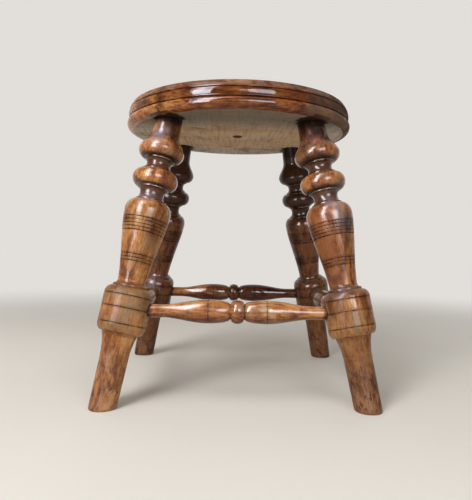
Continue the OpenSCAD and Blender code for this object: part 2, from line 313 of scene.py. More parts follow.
def thinned(points, stray=OUTLINE_STRAY):
    """Places of the points that are needed to keep an outline within a small distance."""
    keep = np.zeros(len(points), bool)
    keep[[0, -1]] = True
    spans = [(0, len(points) - 1)]
    while spans:
        first, last = spans.pop()
        if last - first < 2:
            continue
        chord = points[last] - points[first]
        offset = points[first + 1:last] - points[first]
        gap = np.abs(chord[0]*offset[:, 1] - chord[1]*offset[:, 0])/max(np.linalg.norm(chord), 1e-12)
        worst = int(np.argmax(gap))
        long_span = np.linalg.norm(chord) > LONGEST_FACE
        if gap[worst] > stray or long_span:
            middle = first + 1 + (worst if gap[worst] > stray else (last - first)//2 - 1)
            keep[middle] = True
            spans += [(first, middle), (middle, last)]
    return np.flatnonzero(keep)


def thin_out(outline, masks):
    """The outline with only the points that it needs, and the masks at those points."""
    kept = thinned(outline)
    return outline[kept], {mask: values[kept] for mask, values in masks.items()}


def hollowness(points, width):
    """How far each point of an even outline lies inside its smoothed self, in metres."""
    return soften(points[:, 0], width) - points[:, 0]


# How strongly dark polish fills the necks, and the edges at the ankle and under the boss
NECK_DARK = 0.95
EDGE_DARK = 0.40
# How late the flare over the foot widens, and how early the bell narrows
FLARE_CURVE = 2.4
BELL_CURVE = 0.85


class LegPlan:
    """Levels and outline of a leg, in its own upright frame with the floor point at the origin."""

    def __init__(self, size):
        self.size = size
        self.lean = math.atan(math.sqrt(2)*math.tan(size.splay))
        self.underside = SEAT_LOW.z
        self.seat_s = self.underside/math.cos(self.lean)
        self.stretcher_z = (STRETCHER_LOW.z + STRETCHER_HIGH.z)/2
        boss_mid = self.stretcher_z/math.cos(self.lean)
        self.boss_low = boss_mid - size.boss_h/2
        self.boss_high = boss_mid + size.boss_h/2
        self.ankle_s = self.boss_high + size.collar_h + size.ankle_h
        self.upper_bead_s = self.seat_s - size.bell_h
        upper_hollow_s = self.upper_bead_s - size.bead_under - size.fillet_h - size.upper_hollow
        self.lower_bead_s = upper_hollow_s - size.fillet_h - size.bead_over
        lower_hollow_s = self.lower_bead_s - size.bead_under - size.fillet_h - size.lower_hollow
        self.belly_s = lower_hollow_s - size.fillet_h - size.vase_shoulder
        self.hollows = (lower_hollow_s, upper_hollow_s)
        self.boss_lines = [
            self.boss_low + size.boss_bevel + size.line_w/2,
            boss_mid + size.boss_line_rise,
            self.boss_high - size.boss_shoulder - size.line_w/2,
        ]
        self.vase_lines = [
            self.belly_s - size.upper_drop - i*size.line_pitch for i in range(size.upper_lines - 1)]
        self.vase_lines += [
            self.ankle_s + size.lower_rise + i*size.line_pitch for i in range(size.lower_lines)]
        self.bold_line = self.belly_s - size.upper_drop - (size.upper_lines - 1)*size.line_pitch
        # Where dark polish has stayed: the necks, the ankle and the lower edge of the boss
        self.dark_bands = [
            (neck_s - size.fillet_h, neck_s + neck_h + 2*size.fillet_h, NECK_DARK)
            for neck_s, neck_h in ((lower_hollow_s, size.lower_hollow), (upper_hollow_s, size.upper_hollow))]
        self.dark_bands += [
            (self.boss_high - 1*MM, self.ankle_s - 0.5*MM, EDGE_DARK),
            (self.boss_low - 4*MM, self.boss_low + 1*MM, EDGE_DARK),
        ]
        # The quirks right under the two beads, where a pale line is painted as the floor's reflection
        self.quirks = [
            self.upper_bead_s - size.bead_under - size.fillet_h/2,
            self.lower_bead_s - size.bead_under - size.fillet_h/2,
        ]

    def axis_at(self, z):
        """How far from the stool's middle a leg's axis lies at a height, along X and along Y."""
        return abs(FOOT_CENTRES["rear_right"][0]) - z*math.tan(self.size.splay)

    def outline(self):
        """The whole leg, from the floor up to the seat's underside."""
        size = self.size
        vase_low = size.ankle/2
        vase_gain = (size.vase - size.ankle)/2
        collar_top = self.boss_high + size.collar_h
        lower_hollow_s, upper_hollow_s = self.hollows
        return np.concatenate([
            [[size.foot/2, 0]],
            rising(lambda t: (size.shin + (size.flare - size.shin)*t**FLARE_CURVE)/2,
                   self.boss_low - size.flare_h, self.boss_low),
            swell_out(size.boss_base, size.boss, self.boss_low, size.boss_bevel),
            close_in(size.boss, size.collar, self.boss_high - size.boss_shoulder, size.boss_shoulder),
            rising(lambda t: (size.collar + (size.ankle - size.collar)*np.sqrt(t*(2 - t)))/2,
                   collar_top, self.ankle_s),
            rising(lambda t: vase_low + vase_gain*(t + ease(t))/2, self.ankle_s, self.belly_s),
            close_in(size.vase, size.fillet, self.belly_s, size.vase_shoulder),
            hollow(size.fillet, size.hollow, lower_hollow_s, size.lower_hollow),
            swell_out(size.fillet, size.lower_bead, self.lower_bead_s - size.bead_under, size.bead_under),
            close_in(size.lower_bead, size.fillet, self.lower_bead_s, size.bead_over),
            hollow(size.fillet, size.hollow, upper_hollow_s, size.upper_hollow),
            swell_out(size.fillet, size.upper_bead, self.upper_bead_s - size.bead_under, size.bead_under),
            rising(lambda t: (size.upper_bead + (size.neck_base - size.upper_bead)*ease(t)**BELL_CURVE)/2,
                   self.upper_bead_s, self.upper_bead_s + size.bell_flare),
            [[size.neck_top/2, self.seat_s]],
        ])


# Meshes

def new_object(name, data):
    """A new object in the scene."""
    made = bpy.data.objects.new(name, data)
    bpy.context.scene.collection.objects.link(made)
    return made


class Mesh:
    """Gathers points, faces, wood coordinates and masks, then makes one object of them."""

    # Some masks hold painted shade, painted reflection or painted sheen as well as the wood's own marks
    MASKS = ("hollow", "grime", "rubbed", "scuff", "stain", "wax", "dull", "matte", "glow", "bloom", "tone",
             "rings")

    def __init__(self):
        self.points = []
        self.wood = []
        self.masks = {mask: [] for mask in self.MASKS}
        self.faces = []
        self.maps = []
        self.count = 0

    def add(self, points, wood, faces, maps, **masks):
        """Adds one shell. maps holds a place on the flat map for each corner of each face."""
        self.points.append(points)
        self.wood.append(wood)
        for mask in self.MASKS:
            self.masks[mask].append(np.broadcast_to(masks.get(mask, 0.0), len(points)))
        self.faces += [[corner + self.count for corner in face] for face in faces]
        self.maps += maps
        self.count += len(points)

    def make(self, name, nodes, material):
        """Makes the object, which stands for its nodes."""
        mesh = bpy.data.meshes.new(name)
        mesh.from_pydata(np.concatenate(self.points).tolist(), [], self.faces)
        mesh.polygons.foreach_set("use_smooth", [True]*len(mesh.polygons))
        layer = mesh.uv_layers.new(name="OFBake")
        layer.uv.foreach_set("vector", np.array([place for face in self.maps for place in face],
                                                np.float32).ravel())
        wood = mesh.attributes.new("wood", "FLOAT_VECTOR", "POINT")
        wood.data.foreach_set("vector", np.concatenate(self.wood).astype(np.float32).ravel())
        for mask, values in self.masks.items():
            attribute = mesh.attributes.new(mask, "FLOAT", "POINT")
            attribute.data.foreach_set("value", np.concatenate(values).astype(np.float32))
        mesh.update()
        mesh.set_sharp_from_angle(angle=SHARP_ANGLE)
        mesh.materials.append(material)
        piece = new_object(name, mesh)
        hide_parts(*nodes)
        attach(piece, BODY)


# How many sines make a smooth field, how their lengths spread about its size, and what its sum is
# divided by, so that it stays about -1 to 1
WAVE_COUNT = 14
WAVE_SPREAD = (0.7, 1.6)
WAVE_PEAK = 1.6


def waves(points, random, size):
    """A smooth field about -1 to 1 over the points, with bumps of about the given size."""
    total = np.zeros(points.shape[:-1])
    for _ in range(WAVE_COUNT):
        direction = random.normal(size=3)
        direction *= 2*np.pi/(size*random.uniform(*WAVE_SPREAD))/np.linalg.norm(direction)
        total += np.sin(points @ direction + random.uniform(0, 2*np.pi))
    return total/math.sqrt(WAVE_COUNT/2)/WAVE_PEAK


def smoothstep(low, high, value):
    """0 up to low, 1 from high on, and a smooth rise between. It falls where low is over high."""
    t = np.clip((value - low)/(high - low), 0, 1)
    return t*t*(3 - 2*t)


def round_way(steps):
    """Evenly spaced angles, once round."""
    return np.arange(steps)*2*np.pi/steps


def circle(radius, steps):
    """Evenly spaced points (x, y) on a circle round the origin."""
    angles = round_way(steps)
    return np.column_stack([np.cos(angles), np.sin(angles)])*radius


class Lathe:
    """Rings of points round an axis, one for each point of an outline."""

    def __init__(self, outline, segments):
        self.angles = round_way(segments)
        self.radius, self.level = (outline[:, k][:, None] for k in (0, 1))
        self.outward = np.stack(
            np.broadcast_arrays(np.cos(self.angles), np.sin(self.angles), self.level*0), -1)

    def points(self, radii):
        """The points with the given radii."""
        return self.outward*radii[..., None] + AXIS*self.level[..., None]

    def unrolled(self, radius):
        """Each point as a distance round the axis, measured at one radius, and a level."""
        return np.stack(np.broadcast_arrays(self.angles*radius, self.level), -1)


def tube_faces(rings, segments):
    """Faces between rings of points."""
    faces = []
    for low in range(0, (rings - 1)*segments, segments):
        for j in range(segments):
            k = (j + 1) % segments
            faces.append((low + j, low + k, low + segments + k, low + segments + j))
    return faces


# Places on a piece's flat map, which goes from 0 to 1 both ways: the top of the strip for the side of
# a turned piece, and the middle and half width of each disc
STRIP_TOP = 0.93
END_DISC = ((0.05, 0.965), 0.03)
TENON_DISC = ((0.15, 0.965), 0.03)
UNDERSIDE_DISC = ((0.25, 0.25), 0.24)
MIDDLE_DISC = ((0.25, 0.25), 0.002)
TOP_DISC = ((0.75, 0.25), 0.24)
BORE_DISC = ((0.75, 0.7), 0.05)
# The strip for the seat's rim, from its low side up
RIM_STRIP = (0.9, 0.09)


def tube_maps(along, segments):
    """Places on the flat map of the faces of a tube, whose rings lie at the given distances."""
    up = STRIP_TOP*along/along[-1]
    return [
        ((j/segments, up[i]), ((j + 1)/segments, up[i]),
         ((j + 1)/segments, up[i + 1]), (j/segments, up[i + 1]))
        for i in range(len(along) - 1) for j in range(segments)]


def end_faces(count, total):
    """The two faces that close a tube of rings of count points, total points in all."""
    return [tuple(reversed(range(count))), tuple(range(total - count, total))]


def turned_faces(outline, points, segments):
    """Faces of a turned piece with its two ends, and their places on the flat map."""
    ends = end_faces(segments, len(points))
    faces = tube_faces(len(outline), segments) + ends
    return faces, tube_maps(distances(outline), segments) + flat_map(points, ends, *END_DISC)


def flat_map(points, faces, centre, radius):
    """Places on the flat map for faces that lie flat, shrunk round a centre to a radius."""
    middle = points[:, :2].mean(0)
    reach = max(np.abs(points[:, :2] - middle).max(), 1e-9)
    place = np.array(centre) + (points[:, :2] - middle)/reach*radius
    return [[tuple(place[corner]) for corner in face] for face in faces]


def lathe_masks(outline, lines, line_w, pale_line_levels, dark_bands, line_dirt):
    """Masks along an even outline: dark polish in bands (low, high, strength), grime in lines, painted
    shade in fine corners, rubbing on crests, and a pale painted reflection in quirks."""
    level = outline[:, 1]
    deep = hollowness(outline, 5*MM)
    fine = hollowness(outline, 0.9*MM)
    edge = 1.2*MM
    dark = np.zeros(len(level))
    for low, high, strength in dark_bands:
        band = smoothstep(low - edge, low + edge, level)*smoothstep(high + edge, high - edge, level)
        dark = np.maximum(dark, band*strength)
    # Painted shade in the fine corners and creases, and grime in the incised lines
    grime = smoothstep(0.08*MM, 0.45*MM, fine)*0.8
    for line in lines:
        grime += np.exp(-((level - line)/(line_w*0.75))**2)*line_dirt
    rubbed = smoothstep(0.2*MM, 2.6*MM, -deep)
    # A pale line painted in each quirk, standing for the floor's reflection there
    wax = np.zeros(len(level))
    for quirk in pale_line_levels:
        wax += np.exp(-((level - quirk)/(0.45*MM))**2)
    return {"hollow": dark, "grime": np.clip(grime, 0, 1), "rubbed": rubbed, "wax": np.clip(wax, 0, 1)}


def dented(points, radius, random, count, depth, spread, span):
    """How far random small dents push in points given as (angle*radius, level)."""
    push = np.zeros(points.shape[:-1])
    girth = 2*np.pi*radius
    for _ in range(count):
        at = np.array([random.uniform(0, girth), random.uniform(*span)])
        width = spread*random.uniform(0.5, 1.3)
        away = np.abs(points - at)
        away[..., 0] = np.minimum(away[..., 0], girth - away[..., 0])
        push += depth*random.uniform(0.3, 1.0)*np.exp(-(away**2).sum(-1)/width**2)
    return push


# Dark marks on each leg: level along the leg, angle, half height, half width, strength. Lengths are in
# millimetres. Angles are measured from the right-hand side, looking down the leg. The first two front
# left marks are painted shade on the bell's right side, away from the light.
LEG_MARKS = {
    "front_left": [(293, -44, 16, 7, 0.75), (272, -38, 8, 9, 0.5), (172, -120, 3, 2, 0.7),
                   (206, -60, 10, 7, 0.4), (46, -75, 14, 5, 0.35)],
    "front_right": [(197, -62, 13, 9, 0.9), (184, -58, 16, 4, 0.5), (34, -85, 5, 3, 0.6),
                    (30, -62, 7, 3.5, 0.55), (108, -50, 12, 7, 0.35)],
    "rear_left": [(196, 60, 12, 6, 0.5)],
    "rear_right": [(60, 100, 12, 5, 0.5)],
}
# Darker and lighter patches on the legs, in the same way, with how much they darken
LEG_PATCHES = {
    "front_left": [(108, -81, 26, 30, 0.13), (60, -81, 24, 20, 0.08), (123, -85, 6, 22, 0.24),
                   (180, -50, 30, 10, 0.25), (205, -50, 22, 9, 0.25)],
    "front_right": [(170, -114, 24, 22, 0.34), (243, -100, 9, 30, -0.22), (209, -105, 9, 26, -0.24),
                    (271, -118, 8, 17, 0.55), (123, -100, 7, 24, 0.52), (60, -100, 30, 20, 0.12)],
    "rear_left": [(275, -90, 40, 40, 0.15)],
}
# Red-orange patches in the polish, and patches of painted bluish sheen, standing for the room's light
# reflected in the polish, one of which also gives a blotch its bluish bloom, with their strengths
LEG_GLOWS = {
    "front_left": [(240, -42, 9, 8, 0.8), (268, -80, 6, 22, 0.5), (66, -104, 22, 10, 0.6),
                   (91, -75, 5, 20, 0.6)],
    "front_right": [(195, -142, 28, 10, 0.9), (172, -122, 22, 13, 0.8), (146, -125, 22, 11, 0.9),
                    (112, -142, 12, 9, 0.7)],
    "rear_right": [(170, -80, 30, 16, 0.6)],
}
LEG_SHEENS_AND_BLOOM = {
    "front_left": [(293, -106, 11, 9, 0.65), (224, -92, 5, 12, 0.4)],
    "front_right": [(292, -108, 9, 8, 0.22), (214, -86, 13, 7, 0.55), (199, -67, 13, 9, 0.28),
                    (124, -108, 5, 14, 0.2)],
    "rear_left": [(118, -100, 10, 10, 0.5)],
}

# How each leg has aged. tone says how dark it is, which on the rear legs is partly painted shade, as
# they stand in the seat's shade; under_bead says how much painted shade lies under its lower bead;
# shin_tone and shin_dull how much darker and how dull it is below the boss, boss_dull and vase_dull how
# dull those have gone, and lost_gloss how much gloss it has lost below the belly of its vase.
LegAge = namedtuple("LegAge", "tone under_bead shin_tone shin_dull boss_dull vase_dull lost_gloss")
LEG_AGES = {
    "front_left": LegAge(0.0, 0.5, 0.0, 0.10, 0.88, 0.30, 0.50),
    "front_right": LegAge(0.26, 1.0, 0.16, 0.35, 0.45, 0.25, 0.34),
    "rear_left": LegAge(0.85, 1.0, -0.15, 0.75, 0.5, 0.3, 0.15),
    "rear_right": LegAge(0.80, 1.0, -0.10, 0.45, 0.4, 0.3, 0.15),
}
# How much darker polish and painted shade lie on the rear legs over the vase, under the seat
REAR_POLISH_AND_SHADE = 0.72
# How far out of round a leg is, and how far its wood is shifted from the next leg's
LEG_OVAL = 0.0035
LEG_SHIFT = 0.37
# Added to a distance to put it out of reach
FAR = 9


class STOOL_OT_turn_legs(bpy.types.Operator):
    """Turns the four legs, with their incised lines, worn edges and through tenons"""
    bl_idname = "stool.turn_legs"
    bl_label = "Turn the legs"

    segments: whole_number("Segments", "Faces round a leg", 128, 24)

    def execute(self, context):
        size = context.scene.stool_leg
        plan = LegPlan(size)
        finish = context.scene.stool_finish
        material = polished_wood(
            "leg_polish", finish, finish.gloss_blur, uneven=1.0, faded=(finish.olive, 0.65), glowing=0.70)
        lines = plan.boss_lines + plan.vase_lines
        outline = incise(worn_edges(even(plan.outline()), LEG_WEAR), lines, size.line_w)
        outline = incise(outline, [plan.bold_line], size.bold_line_w)
        outline = worn_edges(outline, LINE_WEAR)
        masks = lathe_masks(
            outline, lines + [plan.bold_line], size.line_w, plan.quirks, plan.dark_bands, line_dirt=0.9)
        # Painted dark where the leg meets the seat: the joint, and painted shade under the seat
        joint_and_shade = 0.9*smoothstep(plan.seat_s - 4*MM, plan.seat_s, outline[:, 1])
        masks["grime"] = np.clip(masks["grime"] + joint_and_shade, 0, 1)
        outline, masks = thin_out(outline, masks)
        for number, corner in enumerate(CORNERS):
            self.turn(plan, outline, masks, corner, number, material)
        return {"FINISHED"}

    def turn(self, plan, outline, masks, corner, number, material):
        """Makes the leg of one corner."""
        random = np.random.default_rng(100 + number)
        lathe = Lathe(outline, self.segments)
        push = self.dents(plan, lathe, random)
        oval = LEG_OVAL*np.cos(2*(lathe.angles - random.uniform(0, np.pi)))
        body = lathe.points(lathe.radius)
        ripple = 0.05*MM*waves(body, random, 26*MM) + 0.018*MM*waves(body, random, 7*MM)
        local = lathe.points(lathe.radius*(1 + oval) + ripple - push)
        flat = local.reshape(-1, 3)
        x, y = CORNERS[corner]
        outward = np.array([x, y])/math.sqrt(2)
        lean = leg_turn(plan, x, y)
        foot = np.array(FOOT_CENTRES[corner])
        points = self.trim(plan, local, outward).reshape(-1, 3) @ lean.T + foot
        points[:, 2] = np.clip(points[:, 2], 0, None)
        shift = LEG_SHIFT*(number + 1)
        faces, maps = turned_faces(outline, flat, self.segments)
        shape = Mesh()
        shape.add(points, flat + shift, faces, maps, **self.masks(plan, masks, corner, flat, points, random))
        for part, part_faces in tenon_parts(plan, outward):
            shape.add(part @ lean.T + foot, part + shift, part_faces, flat_map(part, part_faces, *TENON_DISC),
                      tone=0.75, scuff=0.35, grime=0.15)
        shape.make("turned_leg_" + corner, ["leg_" + corner], material)

    @staticmethod
    def dents(plan, lathe, random):
        """How far dents push in the leg: some all over, more on the boss and most at the foot."""
        belly = plan.size.vase/2
        place = lathe.unrolled(belly)
        kinds = (
            (46, 0.16*MM, 3.2*MM, (8*MM, plan.seat_s - 30*MM)),
            (16, 0.30*MM, 2.0*MM, (plan.boss_low, plan.boss_high)),
            (30, 0.35*MM, 3.5*MM, (0, 60*MM)),
        )
        return sum(dented(place, belly, random, *kind) for kind in kinds)

    @staticmethod
    def trim(plan, local, outward):
        """The leg with its foot cut level on the floor and its neck cut level under the seat."""
        out = local.copy()
        across = local[..., :2] @ outward
        level = local[..., 2]
        foot_reach, neck_reach = 30*MM, 12*MM
        low = np.clip(1 - level/foot_reach, 0, 1)
        high = np.clip((level - plan.seat_s + neck_reach)/neck_reach, 0, 1)
        out[..., 2] = level - across*math.tan(plan.lean)*(low + high) + SEAL*high
        # The foot's edge is rubbed round where it meets the floor
        height = level*math.cos(plan.lean)
        chamfer = 0.9*MM*np.clip(1 - height/(1.6*MM), 0, 1)**2
        radius = np.linalg.norm(out[..., :2], axis=-1, keepdims=True)
        out[..., :2] *= 1 - chamfer[..., None]/radius
        return out

    def masks(self, plan, along, corner, flat, points, random):
        """All masks of one leg: those along its outline, and those that change round it."""
        spread = {mask: np.repeat(values, self.segments) for mask, values in along.items()}
        spread.update(self.marks(plan, corner, flat, points, random))
        # The rear legs are darkest over the vase: darker polish, and painted shade under the seat
        is_rear = CORNERS[corner][1] > 0
        upper = REAR_POLISH_AND_SHADE*is_rear*smoothstep(plan.belly_s - 10*MM, plan.belly_s + 25*MM, flat[:, 2])
        spread["grime"] = np.clip(spread["grime"] + spread.pop("dirt"), 0, 1)
        # The hollow and stain masks also take painted shade on the rear legs, hollow also on the neck
        spread["hollow"] = np.clip(spread["hollow"] + 0.75*spread.pop("neck") + upper, 0, 1)
        spread["stain"] = np.clip(spread["stain"] + 0.80*upper, 0, 1)
        spread["matte"] = spread["matte"] + 0.25*upper
        spread["tone"] = np.clip(LEG_AGES[corner].tone + spread.pop("darkened"), 0, 1)
        spread["rings"] = growth_rings(flat, random)
        return spread

    @staticmethod
    def marks(plan, corner, flat, points, random):
        """What changes round the leg, such as scuffs at the foot, stains, dirt at the sockets, and painted
        shade under the seat and under the beads.
        """
        size, age = plan.size, LEG_AGES[corner]
        level = flat[:, 2]
        cloud = waves(flat, random, 30*MM)
        scuff = smoothstep(1.02, 0.25, (level + cloud*9*MM)/(plan.boss_low - 2*MM))*0.95
        # The bell is painted darker from the seat down to a ragged edge over the bead, as shade under the
        # seat
        bell = smoothstep(plan.upper_bead_s + 1*MM, plan.upper_bead_s + 24*MM, level + cloud*7*MM)
        # The neck under the seat is painted dark, as the seat's shadow on it
        neck = smoothstep(plan.seat_s - 16*MM, plan.seat_s - 2*MM, level + cloud*6*MM)
        # Painted shade under the beads, less under the front left lower bead, with a little dirt
        under = np.zeros(len(flat))
        for bead_s, depth in ((plan.upper_bead_s, 1.0), (plan.lower_bead_s, age.under_bead)):
            edge_s = bead_s - size.bead_under
            shade = depth*smoothstep(bead_s - 0.40*size.bead_under, edge_s, level)
            under = np.maximum(under, shade*(level > edge_s - size.fillet_h))
        boss = smoothstep(plan.boss_low - 2*MM, plan.boss_low + 4*MM, level)
        boss *= smoothstep(plan.boss_high + 8*MM, plan.boss_high, level)
        vase = smoothstep(plan.ankle_s + 2*MM, plan.ankle_s + 12*MM, level)
        vase *= smoothstep(plan.belly_s + 2*MM, plan.belly_s - 8*MM, level)
        shin = smoothstep(plan.boss_low + 2*MM, plan.boss_low - 6*MM, level)
        dull = boss*age.boss_dull*np.clip(0.8 + 0.5*cloud, 0, 1)
        dull = np.maximum(dull, vase*age.vase_dull*np.clip(0.7 + 0.6*cloud, 0, 1))
        dull = np.maximum(dull, shin*age.shin_dull*np.clip(0.85 + 0.4*cloud, 0, 1))
        matte = age.lost_gloss*smoothstep(plan.belly_s + 1*MM, plan.belly_s - 9*MM, level)
        # Stains, with painted shade on the front left bell's right side
        stain = spots(LEG_MARKS, corner, flat, random)
        patches = spots(LEG_PATCHES, corner, flat, random)
        near = socket_distance(plan, corner, points) + 0.4*MM*waves(flat, random, 5*MM)
        socket = smoothstep(9.4*MM, 7.2*MM, near)*0.85
        # The top of the neck is painted near black, as shade under the seat
        dirt = 0.95*smoothstep(plan.seat_s - 12*MM, plan.seat_s - 6*MM, level + cloud*3*MM)
        dirt = np.maximum(dirt, 0.55*under**3)
        return {
            "scuff": scuff, "matte": matte, "stain": np.clip(stain, 0, 1), "neck": neck, "dull": dull,
            "dirt": np.maximum(socket, dirt),
            # Painted shade on the bell and under the beads, with the shin's tone and the patches
            "darkened": 0.85*bell + 0.55*under + shin*age.shin_tone + patches,
            "glow": np.clip(spots(LEG_GLOWS, corner, flat, random), 0, 1),
            "bloom": np.clip(spots(LEG_SHEENS_AND_BLOOM, corner, flat, random), 0, 1),
        }


def spots(table, corner, flat, random):
    """The marks of a table that lie on one leg, as soft ragged spots."""
    level = flat[:, 2]
    turned_by = np.degrees(np.arctan2(flat[:, 1], flat[:, 0]))
    radius = np.linalg.norm(flat[:, :2], axis=1)
    total = np.zeros(len(flat))
    for at, bearing, tall, wide, strength in table.get(corner, ()):
        aside = np.radians((turned_by - bearing + 180) % 360 - 180)*radius
        ragged = 1 + 0.35*waves(flat, random, 6*MM)
        total += strength*np.exp(-(((level - at*MM)/(tall*MM))**2 + (aside/(wide*MM))**2)*ragged)
    return total


def socket_distance(plan, corner, points):
    """How far points on a leg lie from the axes of its two stretchers, on the side that each enters."""
    x, y = CORNERS[corner]
    axis_z = plan.stretcher_z
    centre = plan.axis_at(axis_z)
    to_x = np.hypot(points[:, 1] - y*centre, points[:, 2] - axis_z) + FAR*(points[:, 0]*x > centre)
    to_y = np.hypot(points[:, 0] - x*centre, points[:, 2] - axis_z) + FAR*(points[:, 1]*y > centre)
    return np.minimum(to_x, to_y)


def leg_turn(plan, x, y):
    """The rotation that leans a leg outwards at its corner."""
    azimuth = math.atan2(y, x)
    turn = (Matrix.Rotation(azimuth, 3, "Z") @ Matrix.Rotation(-plan.lean, 3, "Y")
            @ Matrix.Rotation(-azimuth, 3, "Z"))
    return np.array(turn)


def growth_rings(points, random):
    """A count of growth rings at each point, about a pith that lies off the axis."""
    bearing = random.uniform(0, 2*np.pi)
    pith = np.array([math.cos(bearing), math.sin(bearing)])*random.uniform(30, 60)*MM
    drift = random.normal(size=2)*0.05
    centre = pith + points[:, 2:3]*drift
    return np.linalg.norm(points[:, :2] - centre, axis=1)/(2.6*MM)


def loft(rings):
    """A closed shell through rings of like points."""
    count = len(rings[0])
    points = np.concatenate(rings)
    return points, tube_faces(len(rings), count) + end_faces(count, len(points))


def tenon_parts(plan, outward):
    """The tenon inside the seat: a round stub, and two halves spread by the wedge over it."""
    size = plan.size
    top = SEAT_HIGH.z/math.cos(plan.lean)
    tip = top - size.wedge_h
    split = tip - 2*MM
    slant = math.tan(plan.lean)
    radius = size.tenon/2
    steps = 48
    edge = circle(radius, steps)
    stub_low = np.column_stack([edge, plan.seat_s - (edge @ outward)*slant])
    stub_high = np.column_stack([edge, np.full(steps, split)])
    parts = [loft([stub_low, stub_high])]
    for side in (-1, 1):
        rings = []
        for level, gap in ((split, size.wedge_tip/2), (tip, size.wedge_tip/2), (top, size.wedge_top/2)):
            reach = math.acos(gap/radius)
            sweep = np.linspace(-reach, reach, steps)
            half = side*np.column_stack([np.cos(sweep), np.sin(sweep)])*radius
            s = np.full(steps, level)
            if level == top:
                s = s - (half @ outward)*slant
            rings.append(np.column_stack([half, s]))
        parts.append(loft(rings))
    return parts


# How dark each stretcher is, how much darker its right or rear half is, and how dull it has gone
STRETCHER_TONES = {
    "front": (0.0, 0.0, 0.10), "rear": (0.52, 0.42, 0.0), "left": (0.55, 0.0, 0.5), "right": (0.50, 0.0, 0.5)}
# How far out of round a stretcher is. How far its wood is shifted from the next one's, and how many
# such shifts the first one has
STRETCHER_OVAL = 0.004
STRETCHER_SHIFT = 0.23
FIRST_SHIFTS = 9
# The radius at which a stretcher's dents are spread
DENT_RADIUS = 11*MM
# An orange place under the front stretcher, left of its middle, and its half length
ORANGE_AT, ORANGE_REACH = 51*MM, 13*MM


class STOOL_OT_turn_stretchers(bpy.types.Operator):
    """Turns the four stretchers, each with two swellings and a bead in the middle"""
    bl_idname = "stool.turn_stretchers"
    bl_label = "Turn the stretchers"

    segments: whole_number("Segments", "Faces round a stretcher", 80, 16)

    def execute(self, context):
        size = context.scene.stool_stretcher
        finish = context.scene.stool_finish
        material = polished_wood(
            "stretcher_polish", finish, finish.stretcher_blur, uneven=0.5, faded=(finish.tan, 1.0),
            glowing=0.40)
        half_length = (STRETCHER_HIGH.x - STRETCHER_LOW.x)/2
        waist_end = size.bead_w/2 + size.waist_h
        half = np.concatenate([
            arc(size.waist/2, 0, (size.bead - size.waist)/2, size.bead_w/2, 0, 90),
            arc(size.waist/2, size.swell_at, (size.swell - size.waist)/2, size.swell_at - waist_end, -90, 0),
            rising(lambda t: (size.swell + (size.end - size.swell)*ease(t))/2,
                   size.swell_at, size.swell_at + size.taper),
            [[size.end/2, half_length]],
        ])
        outline = np.concatenate([half[:0:-1]*(1, -1), half])
        outline = worn_edges(even(outline), STRETCHER_WEAR)
        lines = [-size.swell_at, size.swell_at]
        outline = worn_edges(incise(outline, lines, size.line_w), LINE_WEAR)
        bands = [(-waist_end, -size.bead_w/2, 0.45), (size.bead_w/2, waist_end, 0.75)]
        masks = lathe_masks(outline, lines, size.line_w, [], bands, line_dirt=0.6)
        # Dirt gathers where a stretcher enters its bosses
        joints = smoothstep(half_length - 19*MM, half_length - 15*MM, np.abs(outline[:, 1]))
        masks["grime"] = np.clip(masks["grime"] + 0.8*joints, 0, 1)
        outline, masks = thin_out(outline, masks)
        for number, side in enumerate(STRETCHER_TONES):
            self.turn(outline, masks, side, number, material)
        return {"FINISHED"}

    def turn(self, outline, masks, side, number, material):
        """Makes the stretcher of one side."""
        random = np.random.default_rng(200 + number)
        low, high = (Vector(corner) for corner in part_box("stretcher_" + side))
        centre = np.array((low + high)/2)
        lies_across = side in ("front", "rear")
        axes = np.array([[0, 0, 1], [0, -1, 0], [1, 0, 0]] if lies_across
                        else [[0, 0, 1], [1, 0, 0], [0, 1, 0]], float)
        lathe = Lathe(outline, self.segments)
        body = lathe.points(lathe.radius)
        ripple = 0.04*MM*waves(body, random, 20*MM) + 0.015*MM*waves(body, random, 6*MM)
        push = dented(lathe.unrolled(DENT_RADIUS), DENT_RADIUS, random, 18, 0.14*MM, 2.4*MM,
                      (lathe.level.min(), lathe.level.max()))
        oval = 1 + STRETCHER_OVAL*np.cos(2*lathe.angles)
        flat = lathe.points(lathe.radius*oval + ripple - push).reshape(-1, 3)
        along = flat[:, 2]
        upward = np.tile(np.cos(lathe.angles), len(outline))
        # Painted shade: darker towards the underside, where less light falls
        under = smoothstep(-0.05, -0.80, upward)
        on_bead = smoothstep(8*MM, 6*MM, np.abs(along))
        half = smoothstep(-12*MM, 12*MM, along)
        tone, half_tone, dull = STRETCHER_TONES[side]
        spread = {mask: np.repeat(values, self.segments) for mask, values in masks.items()}
        spread["tone"] = np.clip(tone + half_tone*half + 0.72*under + 0.15*on_bead, 0, 1)
        spread["dull"] = dull
        if side == "front":
            below = smoothstep(0.1, -0.3, upward)*smoothstep(-0.95, -0.6, upward)
            spread["glow"] = below*np.exp(-((along + ORANGE_AT)/ORANGE_REACH)**2)
        spread["rings"] = growth_rings(flat, random)
        faces, maps = turned_faces(outline, flat, self.segments)
        shape = Mesh()
        shape.add(flat @ axes + centre, flat + STRETCHER_SHIFT*(number + FIRST_SHIFTS), faces, maps, **spread)
        shape.make("turned_stretcher_" + side, ["stretcher_" + side], material)


# The small forms of the rim. A slim roll over the groove: how far its middle is set in, its half width
# and half height. The fine line: its depth. A small roll over that line: how far its middle is set in
# and how high it is over the line, and its half width. The bevel: how far out, and over the line, it starts
ROLL_INSET, ROLL_W, ROLL_H = 1.15*MM, 0.85*MM, 0.8*MM
LINE_DEPTH = 0.85*MM
SMALL_ROLL_INSET, SMALL_ROLL_RISE, SMALL_ROLL_W = 0.35*MM, 0.85*MM, 0.6*MM
BEVEL_OUT, BEVEL_RISE = 0.2*MM, 1.1*MM
# The gouge under the seat, from the middle, and the dark mark on the rim, in degrees from the
# right-hand side
GOUGE_AT = (-1*MM, 4*MM)
RIM_STAIN = (-132.5, -127.0)


